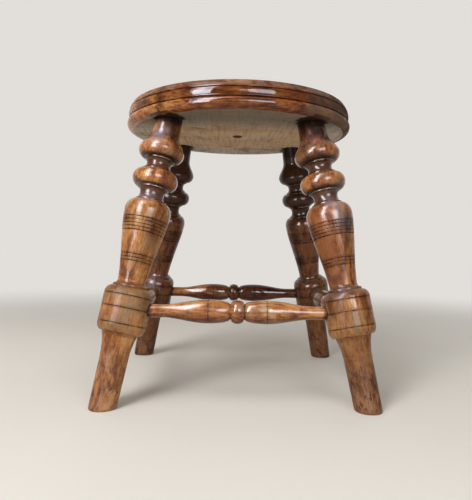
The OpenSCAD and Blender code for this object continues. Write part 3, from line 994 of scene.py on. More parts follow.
class SeatPlan:
    """Levels and outline of the seat's rim."""

    def __init__(self, size):
        self.size = size
        self.low, self.high = SEAT_LOW.z, SEAT_HIGH.z
        self.half = size.across/2
        self.upper = self.half - size.set_back
        self.crown_z = self.low + size.lower_moulding - size.lower_crown
        self.groove_z = self.low + size.lower_moulding + size.groove_h
        self.groove_middle = self.groove_z - size.groove_h/2
        self.widest_z = self.high - size.top_round_h
        self.flat_low = self.half - size.under_round
        self.flat_high = self.upper - size.top_round_w
        self.line_z = self.high - size.top_line
        self.bevel_z = self.line_z + 1.3*MM

    def outline(self):
        """The rim, from the flat underside out and up to the flat top."""
        size = self.size
        upper, line_z = self.upper, self.line_z
        band = upper - size.band_drop
        return np.concatenate([
            [[self.flat_low - 3*MM, self.low]],
            arc(self.flat_low, self.crown_z, size.under_round, self.crown_z - self.low, -90, 0),
            arc(self.half - size.lower_tuck, self.crown_z, size.lower_tuck, size.lower_crown, 0, 90),
            [[upper - size.upper_tuck - size.groove_depth, self.groove_middle]],
            arc(upper - ROLL_INSET, self.groove_z + ROLL_H, ROLL_W, ROLL_H, -90, 50, 10),
            arc(upper - size.upper_tuck, self.widest_z, size.upper_tuck, self.widest_z - self.groove_z,
                -42, 0),
            arc(band, self.widest_z, size.band_drop, line_z - self.widest_z, 0, 70, 10),
            [[band - LINE_DEPTH, line_z]],
            arc(band - SMALL_ROLL_INSET, line_z + SMALL_ROLL_RISE, SMALL_ROLL_W, SMALL_ROLL_W, -60, 23, 10),
            self.bevel(band + BEVEL_OUT, line_z + BEVEL_RISE, self.flat_high, self.high),
            [[self.flat_high - 3*MM, self.high]],
        ])

    @staticmethod
    def bevel(wide, low, narrow, high):
        """The bevel at the top edge: nearly straight, then quickly rounded into the flat top."""
        steps = 12
        height = (high - low)*0.86
        slope = np.radians(np.linspace(23, 40, steps))
        rise = np.linspace(0, height, steps)
        inward = np.concatenate([[0], np.cumsum(np.tan(slope[:-1])*np.diff(rise))])
        straight = np.column_stack([wide - inward, low + rise])
        left, last = wide - inward[-1], low + height
        corner = arc(narrow, last, left - narrow, high - last, 25, 90, steps)
        return np.concatenate([straight, corner])


class STOOL_OT_turn_seat(bpy.types.Operator):
    """Turns the seat: a moulded rim, a flat top with the legs' tenons let in, and a raw underside"""
    bl_idname = "stool.turn_seat"
    bl_label = "Turn the seat"

    segments: whole_number("Segments", "Faces round the rim", 288, 48)

    def execute(self, context):
        size = context.scene.stool_seat
        legs = LegPlan(context.scene.stool_leg)
        plan = SeatPlan(size)
        low, high = plan.low, plan.high
        random = np.random.default_rng(300)
        outline, grime = self.seat_outline(plan)
        lathe = Lathe(outline, self.segments)
        grid = lathe.points(lathe.radius)
        on_rim = smoothstep(plan.flat_low - 2*MM, plan.flat_low + 4*MM, lathe.radius)
        on_rim = on_rim*smoothstep(high, high - 1.5*MM, lathe.level)
        ripple = 0.045*MM*waves(grid, random, 45*MM) + 0.015*MM*waves(grid, random, 9*MM)
        push = dented(lathe.unrolled(plan.half), plan.half, random, 46, 0.22*MM, 2.6*MM, (low, high))
        grid[..., :2] *= 1 + (on_rim*(ripple - push - 0.12*MM)/lathe.radius)[..., None]
        grid[..., 2] += self.underside_wear(grid, low, plan.flat_low, random)
        points = grid.reshape(-1, 3)
        faces = tube_faces(len(outline), self.segments)
        maps = self.rim_maps(outline, self.segments, plan.flat_low)
        middle = tuple(reversed(range(self.segments)))
        faces.append(middle)
        maps += flat_map(points, [middle], *MIDDLE_DISC)
        stain = self.stains(points, random)
        bevel = smoothstep(plan.bevel_z, plan.bevel_z + 1*MM, points[:, 2])
        shape = Mesh()
        shape.add(points, points, faces, maps, grime=np.repeat(grime, self.segments), stain=stain,
                  wax=0.24*bevel, scuff=0.30*bevel, hollow=self.leg_shadows(points, legs),
                  **self.fading(points, random))
        self.add_top(shape, legs, points[-self.segments:], high)
        material = seat_wood("seat_finish", context.scene.stool_finish, plan.flat_low, plan.bevel_z)
        shape.make("turned_seat", ["seat"], material)
        return {"FINISHED"}

    @staticmethod
    def seat_outline(plan):
        """The underside and the rim, from the middle outwards, and the grime and painted shade along them."""
        rim = worn_edges(even(plan.outline()), RIM_WEAR)
        rim[:, 1] = np.clip(rim[:, 1], plan.low, plan.high)
        fine = hollowness(rim, 0.9*MM)
        groove = np.exp(-((rim[:, 1] - plan.groove_middle)/(0.5*MM))**2)
        # The fine line is painted dark as the shadow under its small roll; the groove gets grime
        line = np.exp(-((rim[:, 1] - plan.line_z + 0.4*MM)/(0.8*MM))**2)
        grime = np.clip(0.40*groove + 0.75*line + smoothstep(0.12*MM, 0.6*MM, fine)*0.25, 0, 1)
        kept = thinned(rim, RIM_STRAY)
        rim, grime = rim[kept], grime[kept]
        inner = np.arange(0.6*MM, rim[0, 0] - 0.8*MM, 1.3*MM)
        outline = np.concatenate([np.column_stack([inner, np.full(len(inner), plan.low)]), rim])
        return outline, np.concatenate([np.zeros(len(inner)), grime])

    @staticmethod
    def leg_shadows(points, legs):
        """Painted shadow on the underside round the tops of the legs, shifted outwards."""
        seat_half = legs.axis_at(legs.underside)
        under = points[:, 2] < SEAT_LOW.z + 2.5*MM
        random = np.random.default_rng(310)
        ragged = waves(points, random, 9*MM)*2.5*MM
        near = np.full(len(points), 1.0)
        for x, y in CORNERS.values():
            aside = 1.3*(points[:, 0] - x*(seat_half + 1*MM))
            away = np.hypot(aside, points[:, 1] - y*(seat_half + 9*MM))
            near = np.minimum(near, away - legs.size.neck_top/2 + ragged)
        return smoothstep(12*MM, 6*MM, near)*under

    @staticmethod
    def underside_wear(grid, low, flat_low, random):
        """How far the raw underside is dished and dented upwards, in metres."""
        x, y = grid[..., 0], grid[..., 1]
        flat = (np.abs(grid[..., 2] - low) < 1e-7)*smoothstep(flat_low, flat_low - 4*MM, np.hypot(x, y))
        uneven = 0.10*MM*(1 + waves(grid, random, 28*MM))/2
        # A deep gouge near the middle, with its mouth to the front
        along, across = x - GOUGE_AT[0], y - GOUGE_AT[1]
        gouge = 1.3*MM*np.exp(-(across/(4.5*MM))**2 - (along/(5.5*MM))**2)
        return flat*np.clip(uneven + gouge, 0, None)

    @staticmethod
    def stains(points, random):
        """Dark marks: one across the rim at the front left, and the gouge's own shade."""
        x, y, z = points.T
        bearing = np.degrees(np.arctan2(y, x))
        low, high = RIM_STAIN
        near = np.exp(-(((bearing - (low + high)/2)/((high - low)/2))**2))
        rim = 1.1*near*(z > SEAT_LOW.z + 1*MM)*(np.hypot(x, y) > 128*MM)
        along, across = x - GOUGE_AT[0], y - GOUGE_AT[1]
        gouge = smoothstep(1.6, 0.7, (across/(8.0*MM))**2 + (along/(5.8*MM))**2)*(z < SEAT_LOW.z + 3*MM)
        return np.clip(rim*(0.75 + 0.35*waves(points, random, 7*MM)) + gouge, 0, 1)

    @staticmethod
    def fading(points, random):
        """How dark and how drab the rim is: lighter at the left end, drab towards the right end."""
        bearing = np.degrees(np.arctan2(points[:, 1], points[:, 0]))
        cloud = waves(points, random, 40*MM)
        left = smoothstep(72, 38, np.abs((bearing + 10) % 360 - 180))
        right = smoothstep(58, 30, np.abs(bearing + 12 + 6*cloud))
        lower = smoothstep(SEAT_LOW.z + 13*MM, SEAT_LOW.z + 11.5*MM, points[:, 2])
        return {"tone": 0.62 + 0.08*cloud - 0.46*left - 0.34*lower, "dull": 1.15*right}

    @staticmethod
    def rim_maps(outline, segments, flat_low):
        """Places on the flat map: the underside as a disc, the rim as a strip along the top."""
        angles = np.arange(segments + 1)*2*np.pi/segments
        along = distances(outline)
        start = int(np.searchsorted(outline[:, 0], flat_low))
        (middle, _), reach = UNDERSIDE_DISC
        strip_low, strip_h = RIM_STRIP
        maps = []
        for i in range(len(outline) - 1):
            ends = (i, i, i + 1, i + 1)
            radii = [reach*outline[k, 0]/flat_low for k in ends]
            up = [strip_low + strip_h*(along[k] - along[start])/(along[-1] - along[start]) for k in ends]
            for j in range(segments):
                if i < start:
                    turn = [angles[j], angles[j + 1], angles[j + 1], angles[j]]
                    maps.append([(middle + r*math.cos(a), middle + r*math.sin(a))
                                 for r, a in zip(radii, turn)])
                else:
                    maps.append(list(zip((j/segments, (j + 1)/segments, (j + 1)/segments, j/segments), up)))
        return maps

    @staticmethod
    def add_top(shape, legs, edge, high):
        """The flat top, with a round blind hole for each tenon."""
        steps = 64
        floor_z = legs.underside + 0.5*MM
        bore = circle(legs.size.tenon/2 + GLUE, steps)
        loops, bores = [edge], []
        for x, y in CORNERS.values():
            outward = np.array([x, y])/math.sqrt(2)
            oval = bore + np.outer(bore @ outward, outward)*(1/math.cos(legs.lean) - 1)
            rings = [np.column_stack([oval + np.array([x, y])*legs.axis_at(z), np.full(steps, z)])
                     for z in (high, floor_z)]
            loops.append(rings[0])
            bores.append(rings)
        corners = np.concatenate(loops)
        edges, start = [], 0
        for loop in loops:
            edges += [(start + i, start + (i + 1) % len(loop)) for i in range(len(loop))]
            start += len(loop)
        mesh = bpy.data.meshes.new("top_fill")
        mesh.from_pydata(corners.tolist(), edges, [])
        faces = filled(mesh)
        bpy.data.meshes.remove(mesh)
        shape.add(corners, corners, faces, flat_map(corners, faces, *TOP_DISC), rubbed=0.25, tone=0.42)
        walls_and_floor = tube_faces(2, steps) + [tuple(range(steps, 2*steps))]
        for rings in bores:
            points = np.concatenate(rings)
            maps = flat_map(points, walls_and_floor, *BORE_DISC)
            shape.add(points, points, walls_and_floor, maps, grime=0.9)


def filled(mesh):
    """Triangles, facing up, that fill the space between the closed loops of a flat mesh."""
    work = bmesh.new()
    work.from_mesh(mesh)
    bmesh.ops.triangle_fill(work, use_beauty=True, use_dissolve=False, edges=work.edges[:], normal=(0, 0, 1))
    work.verts.index_update()
    faces = []
    for face in work.faces:
        ring = [vertex.index for vertex in face.verts]
        faces.append(tuple(ring if face.normal.z > 0 else reversed(ring)))
    work.free()
    return faces


class STOOL_OT_finish_wedges(bpy.types.Operator):
    """Gives the four wedges in the top of the seat their dark end-grain finish"""
    bl_idname = "stool.finish_wedges"
    bl_label = "Finish the wedges"

    def execute(self, context):
        material = wedge_wood("wedge_finish", context.scene.stool_finish)
        for corner in CORNERS:
            wedge = frame["nodes"]["wedge_" + corner]
            if wedge.data.materials:
                wedge.material_slots[0].material = material
            else:
                wedge.data.materials.append(material)
        return {"FINISHED"}


# Materials

# How much of its red, green and blue is left where the polish is darkest, painted shade included, and
# where the front of the underside is painted in shade
DARKEST_POLISH = (0.26, 0.165, 0.14)
RAW_FRONT_SHADE = (0.35, 0.35, 0.33)
# Width of the seat's growth rings, and the shift, counted in rings, that brings their pith to zero.
# The pith lies under the seat.
RING_W = 3.1*MM
PITH_SHIFT = (0, 6.5, -61)


class Nodes:
    """Builds the nodes of one tree."""

    def __init__(self, tree):
        self.tree = tree

    def feed(self, socket, value):
        """Links a socket to a node's output, or sets it to a number, vector or colour."""
        if isinstance(value, bpy.types.NodeSocket):
            self.tree.links.new(value, socket)
        elif hasattr(value, "__len__") and len(value) == 3 and len(socket.default_value) == 4:
            socket.default_value = (*value, 1)
        else:
            socket.default_value = value

    def node(self, kind, inputs, output=0, **settings):
        """A new node with its settings and inputs, as one of its outputs."""
        made = self.tree.nodes.new("ShaderNode" + kind)
        for key, value in settings.items():
            setattr(made, key, value)
        for key, value in inputs.items():
            self.feed(made.inputs[key], value)
        return made.outputs[output]

    def rays(self):
        """The kinds of ray that a surface can be seen by."""
        return self.tree.nodes.new("ShaderNodeLightPath").outputs

    def calculate(self, kind, a, b=0.0, clamp=False):
        return self.node("Math", {0: a, 1: b}, operation=kind, use_clamp=clamp)

    def plus(self, a, b, clamp=False):
        return self.calculate("ADD", a, b, clamp)

    def times(self, a, b):
        return self.calculate("MULTIPLY", a, b)

    def larger(self, a, b):
        return self.calculate("MAXIMUM", a, b)

    def step(self, value, low, high, to_low=0.0, to_high=1.0):
        """A smooth step of a value from low to high."""
        return self.node("MapRange", {"Value": value, "From Min": low, "From Max": high,
                                      "To Min": to_low, "To Max": to_high}, interpolation_type="SMOOTHSTEP")

    def broken(self, value, pattern, low, high, least=0.0):
        """A value, cut down to a least share of itself where a pattern is low."""
        return self.times(value, self.step(pattern, low, high, least, 1.0))


class Recipe(Nodes):
    """Builds one material."""

    def __init__(self, name):
        self.material = bpy.data.materials.new(name)
        self.material.use_nodes = True
        super().__init__(self.material.node_tree)
        self.shader = self.tree.nodes["Principled BSDF"]

    def mask(self, name):
        """A mask that the mesh carries."""
        return self.node("Attribute", {}, "Fac", attribute_name=name)

    def wood_place(self):
        """The wood's own coordinates, which keep to the piece whichever way it leans."""
        return self.node("Attribute", {}, "Vector", attribute_name="wood")

    def scaled(self, vector, x, y, z):
        return self.node("VectorMath", {0: vector, 1: (x, y, z)}, operation="MULTIPLY")

    def away(self, vector):
        """Length of a vector."""
        return self.node("VectorMath", {0: vector}, "Value", operation="LENGTH")

    def noise(self, vector, size, detail=3.0, rough=0.5, twist=0.0):
        """Noise from 0 to 1 with bumps of about the given size in metres."""
        return self.node("TexNoise", {"Vector": vector, "Scale": 0.5/size, "Detail": detail,
                                      "Roughness": rough, "Distortion": twist}, "Fac")

    def blend(self, share_of_b, a, b, kind="MIX"):
        """Colour a, with a share of colour b."""
        return self.node("Mix", {"Factor": share_of_b, 6: a, 7: b}, 2, data_type="RGBA", blend_type=kind)

    def cover(self, under, shade, where, strength):
        """Colour under, covered with a shade at a strength where a value from 0 to 1 says so."""
        return self.blend(self.times(where, strength), under, shade)

    def ramp(self, value, stops):
        """A colour that changes with a value, given as stops of (value, colour)."""
        made = self.tree.nodes.new("ShaderNodeValToRGB")
        self.feed(made.inputs[0], value)
        elements = made.color_ramp.elements
        for number, (at, shade) in enumerate(stops):
            stop = elements[number] if number < 2 else elements.new(at)
            stop.position = at
            stop.color = (*shade, 1)
        return made.outputs[0]

    def bump(self, height, distance, strength, below=None):
        """Raises the surface by a height from 0 to 1 times a distance in metres."""
        inputs = {"Height": height, "Distance": distance, "Strength": strength}
        if below is not None:
            inputs["Normal"] = below
        return self.node("Bump", inputs)

    def finish(self, **sockets):
        """Feeds the shader's sockets, whose spaces are written as underscores."""
        for name, value in sockets.items():
            self.feed(self.shader.inputs[name.replace("_", " ")], value)
        return self.material


class Figure:
    """The patterns of old polished wood, each from 0 to 1. along_grain squeezes the wood's coordinates
    along the grain, which draws out a pattern that way."""

    def __init__(self, recipe, place, along_grain):
        drawn_out, half_drawn, little_drawn = (
            recipe.scaled(place, *(value**power for value in along_grain)) for power in (1, 0.6, 0.3))
        self.clouds = recipe.noise(little_drawn, 11*MM, detail=5, rough=0.62, twist=0.9)
        self.mottle = recipe.noise(little_drawn, 3.4*MM, detail=4, rough=0.6, twist=0.5)
        self.broad = recipe.noise(place, 30*MM, detail=3, rough=0.55, twist=0.3)
        self.hue = recipe.noise(recipe.scaled(place, 1.3, 1.0, 0.8), 16*MM, detail=4, rough=0.6, twist=0.4)
        self.streaks = recipe.noise(drawn_out, 1.5*MM, detail=5, rough=0.65, twist=0.2)
        self.fibres = recipe.noise(drawn_out, 0.42*MM, detail=3, rough=0.6)
        self.flecks = recipe.noise(half_drawn, 0.8*MM, detail=2, rough=0.55)
        self.turned = recipe.noise(recipe.scaled(place, 0.06, 0.06, 1.0), 0.7*MM, detail=3, rough=0.6)
        self.scars = recipe.noise(recipe.scaled(place, 1, 1, 0.5), 1.9*MM, detail=5, rough=0.72, twist=0.6)
        self.smear = recipe.noise(recipe.scaled(place, 1, 1, 0.6), 9*MM, detail=4, rough=0.6, twist=0.5)
        self.scratches = recipe.noise(recipe.scaled(place, 1.0, 1.0, 9.0), 2.2*MM, detail=2, twist=1.2)


def mottled(recipe, finish, figure, tones, rings, faded, glowing, contrast, lift):
    """The polish with its mottling, orange patches and faded patches, before wear and dirt."""
    wave = recipe.plus(rings, recipe.times(figure.streaks, 1.1))
    ring = recipe.step(recipe.calculate("FRACT", wave), 0.50, 0.98)
    tone = recipe.plus(recipe.times(figure.clouds, 0.55), recipe.times(figure.mottle, 0.45))
    tone = recipe.plus(recipe.times(recipe.plus(tone, -0.5), contrast), 0.5)
    tone = recipe.plus(tone, recipe.step(figure.streaks, 0.35, 0.70, 0.040, -0.055))
    tone = recipe.plus(tone, recipe.step(figure.turned, 0.35, 0.65, 0.015, -0.015))
    tone = recipe.plus(tone, recipe.times(ring, -0.040))
    tone = recipe.plus(tone, recipe.step(figure.broad, 0.35, 0.65, -0.035, 0.035))
    tone = recipe.plus(tone, recipe.plus(lift, recipe.times(tones, -0.04)))
    shade = recipe.ramp(tone, [
        (0.34, finish.umber), (0.42, finish.russet), (0.485, finish.amber), (0.56, finish.gold),
        (0.66, finish.pale_gold)])
    orange = recipe.blend(recipe.step(figure.mottle, 0.35, 0.60), finish.russet, finish.orange)
    shade = recipe.cover(shade, orange, recipe.step(figure.hue, 0.53, 0.68), glowing)
    faded_colour, faded_share = faded
    pale = recipe.broken(recipe.step(figure.hue, 0.46, 0.32), figure.mottle, 0.38, 0.55, 0.25)
    shade = recipe.cover(shade, faded_colour, pale, faded_share)
    orange = recipe.blend(recipe.step(figure.clouds, 0.40, 0.56), finish.russet, finish.orange)
    glow = recipe.broken(recipe.mask("glow"), figure.mottle, 0.34, 0.58, 0.45)
    shade = recipe.cover(shade, orange, glow, 0.85)
    return recipe.cover(shade, finish.umber, recipe.step(figure.fibres, 0.58, 0.80), 0.40)


def polish(recipe, finish, place, along_grain, tones, rings, dulled, faded, glowing, contrast, lift):
    """Colour, roughness, gloss and normal of old polished wood. tones is how far the piece is darkened,
    with painted shade included, rings counts its growth rings, dulled is the colour of its dull places,
    faded is the colour and share of its faded patches, glowing is the share of its orange patches,
    contrast sets the strength of the mottling, and lift makes all of it lighter."""
    figure = Figure(recipe, place, along_grain)
    shade = mottled(recipe, finish, figure, tones, rings, faded, glowing, contrast, lift)
    dull = recipe.broken(recipe.mask("dull"), figure.mottle, 0.30, 0.60, 0.55)
    shade = recipe.cover(shade, dulled, dull, 0.82)
    rubbed = recipe.broken(recipe.mask("rubbed"), figure.mottle, 0.36, 0.58)
    shade = recipe.cover(shade, finish.gold, rubbed, 0.42)

    scuff = recipe.mask("scuff")
    wear = recipe.broken(scuff, figure.clouds, 0.36, 0.60, 0.35)
    shade = recipe.cover(shade, finish.scuffed, wear, 0.60)
    hollows = recipe.times(recipe.step(figure.clouds, 0.46, 0.34), 0.6)
    scars = recipe.plus(recipe.step(figure.scars, 0.50, 0.62), hollows, clamp=True)
    shade = recipe.cover(shade, finish.umber, recipe.times(scuff, scars), 0.85)
    # Darker where the tone mask says: each piece's own tone, and the painted shade it also holds
    shade = recipe.blend(tones, shade, recipe.blend(1.0, shade, DARKEST_POLISH, "MULTIPLY"))
    shade = recipe.cover(shade, finish.grime, recipe.step(figure.flecks, 0.62, 0.72), 0.55)

    # Dark purple-brown where the hollow mask says: old polish in the necks, and the painted shade it holds
    deep = recipe.step(recipe.plus(recipe.mask("hollow"), recipe.plus(figure.mottle, -0.5)), 0.15, 0.75)
    shade = recipe.cover(shade, finish.purple, deep, 0.88)
    # Grime, and painted shade in creases and under the seat, as the mesh marks them
    grime, stain = recipe.mask("grime"), recipe.mask("stain")
    ragged = recipe.step(recipe.noise(place, 6*MM, detail=5, rough=0.7), 0.32, 0.60, 0.45, 1.1)
    shade = recipe.blend(recipe.times(grime, ragged), shade, finish.grime)
    # Dark streaked marks: stains, and painted shade on the front left bell and the rear legs
    streaked = recipe.broken(stain, figure.streaks, 0.30, 0.60, 0.65)
    shade = recipe.cover(shade, finish.grime, streaked, 0.85)
    # Pale paint: wax on the seat's bevel, and a painted reflection of the floor in the leg's quirks
    wax = recipe.broken(recipe.mask("wax"), recipe.noise(place, 5*MM, detail=2), 0.36, 0.58)
    shade = recipe.cover(shade, finish.wax, wax, 0.48)
    # Painted bluish sheen, standing for the room's light reflected in the polish, and some bluish bloom
    bloom = recipe.broken(recipe.mask("bloom"), figure.smear, 0.30, 0.60, 0.35)
    shade = recipe.cover(shade, finish.bloom, bloom, 0.55)

    rough = recipe.step(figure.smear, 0.35, 0.70, 0.20, 0.32)
    rough = recipe.plus(rough, recipe.times(wear, 0.26))
    rough = recipe.plus(rough, recipe.times(dull, 0.16))
    matte = recipe.plus(wear, recipe.times(dull, 0.75))
    matte = recipe.plus(matte, recipe.times(grime, 0.9))
    matte = recipe.plus(matte, recipe.times(stain, 0.45))
    matte = recipe.plus(matte, recipe.mask("matte"))
    matte = recipe.plus(matte, recipe.step(figure.smear, 0.58, 0.76, 0.0, 0.35), clamp=True)
    gloss = recipe.step(matte, 0.9, 0.0, 0.0, finish.gloss)
    normal = recipe.bump(recipe.step(figure.scratches, 0.60, 0.68), 0.012*MM, 0.5)
    normal = recipe.bump(figure.streaks, 0.06*MM, 0.6, normal)
    normal = recipe.bump(figure.turned, 0.03*MM, 0.6, normal)
    normal = recipe.bump(figure.flecks, 0.06*MM, recipe.plus(0.25, recipe.times(wear, 0.75)), normal)
    return shade, rough, gloss, normal


def clear_coat(recipe, place, uneven=1.0):
    """Normal of the clear polish, which lies a little unevenly."""
    lie = recipe.bump(recipe.noise(place, 7*MM, detail=2), 0.09*MM, 0.6*uneven)
    return recipe.bump(recipe.noise(place, 0.9*MM, detail=2), 0.006*MM, 0.6*uneven, lie)


def polished_wood(name, finish, blur, uneven, faded, glowing):
    """Old polish over turned wood whose grain runs along Z."""
    recipe = Recipe(name)
    place = recipe.wood_place()
    shade, rough, gloss, normal = polish(
        recipe, finish, place, (1, 1, 0.07), recipe.mask("tone"), recipe.mask("rings"), finish.olive, faded,
        glowing, contrast=1.02, lift=0.035)
    return recipe.finish(
        Base_Color=shade, Roughness=rough, Normal=normal, Specular_IOR_Level=0.1, Coat_Weight=gloss,
        Coat_IOR=finish.gloss_ior, Coat_Roughness=blur, Coat_Normal=clear_coat(recipe, place, uneven))


def raw_wood(recipe, finish, place):
    """Colour and normal of the raw underside: fine grain along X, crossed by faint saw marks, greyed in
    patches and at its sides, paler and greyer at the back as painted light from the wall, and greyer and
    darker at the front as painted shade."""
    grain = recipe.noise(recipe.scaled(place, 0.06, 1, 1), 0.8*MM, detail=5, rough=0.65, twist=0.2)
    saw = recipe.noise(recipe.scaled(place, 1, 0.05, 1), 1.2*MM, detail=3, rough=0.6, twist=0.1)
    smears = recipe.noise(recipe.scaled(place, 0.5, 1.0, 1), 18*MM, detail=4, rough=0.65, twist=0.8)
    blots = recipe.noise(recipe.scaled(place, 0.6, 0.6, 1), 8*MM, detail=4, rough=0.65, twist=0.8)
    browned = recipe.noise(recipe.scaled(place, 0.45, 0.8, 1), 24*MM, detail=4, rough=0.6, twist=0.5)
    depth = recipe.node("SeparateXYZ", {0: place}, "Y")
    # Painted shade at the front of the underside, and painted light, reflected from behind, at its back
    front_shade = recipe.step(depth, -15*MM, -100*MM)
    back_light = recipe.step(depth, 62*MM, 110*MM)
    aside = recipe.calculate("ABSOLUTE", recipe.node("SeparateXYZ", {0: place}, "X"))
    edges = recipe.larger(back_light, recipe.step(aside, 82*MM, 112*MM))
    greyed = recipe.plus(recipe.times(recipe.larger(front_shade, edges), 0.85),
                         recipe.times(recipe.step(smears, 0.48, 0.70), 0.50), clamp=True)
    raw = recipe.blend(greyed, finish.raw, finish.raw_grey)
    raw = recipe.blend(front_shade, raw, recipe.blend(1.0, raw, RAW_FRONT_SHADE, "MULTIPLY"))
    raw = recipe.cover(raw, finish.raw_brown, recipe.step(browned, 0.50, 0.64), 0.48)
    raw = recipe.cover(raw, finish.raw_dark, recipe.step(grain, 0.40, 0.70), 0.44)
    raw = recipe.cover(raw, finish.raw_dark, recipe.step(saw, 0.42, 0.72), 0.44)
    raw = recipe.cover(raw, finish.raw_dark, recipe.step(blots, 0.56, 0.70), 0.60)
    # Near black painted shadow round the tops of the legs
    raw = recipe.cover(raw, finish.grime, recipe.mask("hollow"), 0.92)
    raw = recipe.cover(raw, finish.gouge, recipe.mask("stain"), 0.95)
    return raw, recipe.bump(saw, 0.16*MM, 0.7, recipe.bump(grain, 0.22*MM, 0.8))


def seat_wood(name, finish, flat_radius, bevel_z):
    """Polished rim and top, and a raw underside that is flat up to a radius. The bevel starts at the
    level bevel_z. The grain runs along X."""
    recipe = Recipe(name)
    place = recipe.wood_place()
    from_pith = recipe.node(
        "VectorMath", {0: place, 1: (0, 1/RING_W, 1/RING_W), 2: PITH_SHIFT}, operation="MULTIPLY_ADD")
    shade, rough, gloss, normal = polish(
        recipe, finish, place, (0.05, 0.6, 1), recipe.mask("tone"), recipe.away(from_pith), finish.drab,
        (finish.olive, 0.25), glowing=0.70, contrast=0.7, lift=-0.01)
    raw, raw_normal = raw_wood(recipe, finish, place)

    # The polish stops in a ragged line where the underside turns flat
    height = recipe.node("SeparateXYZ", {0: place}, "Z")
    outward = recipe.away(recipe.scaled(place, 1, 1, 0))
    ragged = recipe.times(recipe.noise(place, 7*MM, detail=3), 2.4*MM)
    inside = recipe.step(recipe.plus(outward, ragged), flat_radius + 2.0*MM, flat_radius + 0.6*MM)
    bare = recipe.times(inside, recipe.step(height, SEAT_LOW.z + 4*MM, SEAT_LOW.z + 3*MM))
    shade = recipe.blend(bare, shade, raw)
    rough = recipe.plus(recipe.times(rough, 0.7), recipe.times(bare, 0.5), clamp=True)
    gloss = recipe.times(gloss, recipe.calculate("SUBTRACT", 1.0, bare))
    # The bevel and the top have been rubbed duller than the rim
    gloss = recipe.times(gloss, recipe.step(height, bevel_z, bevel_z + 0.8*MM, 1.0, 0.30))
    normal = recipe.node("Mix", {"Factor": bare, 4: normal, 5: raw_normal}, 1, data_type="VECTOR")
    return recipe.finish(
        Base_Color=shade, Roughness=rough, Normal=normal, Specular_IOR_Level=0.0, Coat_Weight=gloss,
        Coat_IOR=finish.gloss_ior, Coat_Roughness=finish.rim_blur, Coat_Normal=clear_coat(recipe, place))


def wedge_wood(name, finish):
    """End grain of a wedge, dark with old polish."""
    recipe = Recipe(name)
    place = recipe.node("TexCoord", {}, "Object")
    grain = recipe.noise(recipe.scaled(place, 1, 0.3, 0.2), 0.6*MM, detail=4, rough=0.6)
    shade = recipe.blend(recipe.step(grain, 0.35, 0.65), finish.umber, finish.russet)
    rough = recipe.step(grain, 0.3, 0.7, 0.35, 0.55)
    return recipe.finish(Base_Color=shade, Roughness=rough, Normal=recipe.bump(grain, 0.08*MM, 0.6),
                         Coat_Weight=0.4, Coat_Roughness=0.2)


# Stage

# Each lamp's name, bearing from the front and elevation in degrees, distance, width and height in
# metres, radiance and tint. The first two light the wood but don't show in its gloss.
SOFT_WINDOWS = (
    ("window_left", -31, 33, 1.7, 0.50, 1.25, 10.0, (0.97, 0.98, 1.0)),
    ("window_top", -32, 57, 1.7, 0.90, 0.28, 5.0, (0.97, 0.98, 1.0)),
)
# These light the wood and show in its gloss
FAR_WINDOWS = (
    ("window_right", 22, 17, 1.9, 0.70, 1.05, 4.0, (0.84, 0.90, 1.0)),
    ("window_sill", 8, 15, 1.9, 0.55, 0.18, 5.0, (0.92, 0.96, 1.0)),
    ("window_sky", -44, 62, 1.7, 0.5, 0.8, 2.4, (0.86, 0.86, 1.0)),
    ("ceiling", -10, 80, 1.6, 1.5, 1.5, 0.6, (1.0, 0.97, 0.93)),
)
# And these show in the gloss but don't light the wood
BRIGHT_PANES = (
    ("pane_left", -42, 32, 1.69, 0.34, 1.10, 8.0, (0.84, 0.86, 1.0)),
    ("pane_high", -43, 60, 1.69, 0.60, 0.80, 8.0, (0.92, 0.90, 1.0)),
    ("pane_tall", -34, 44, 1.25, 0.30, 0.62, 18.0, (0.93, 0.95, 1.0)),
    ("pane_foot", -35, 16, 1.00, 0.28, 0.50, 28.0, (0.90, 0.95, 1.0)),
    ("pane_low", 6, 24, 1.69, 0.36, 0.14, 8.0, (1.0, 0.98, 0.95)),
    ("pane_right", 20, 17, 1.89, 0.80, 0.70, 11.0, (0.96, 0.95, 1.0)),
)
LAMP_TARGET = Vector((0, 0, 0.17))
FLOOR_REACH, FLOOR_STEPS = 4.0, 8
# Height of the photograph in pixels, its longer side
PHOTO_HEIGHT = 500


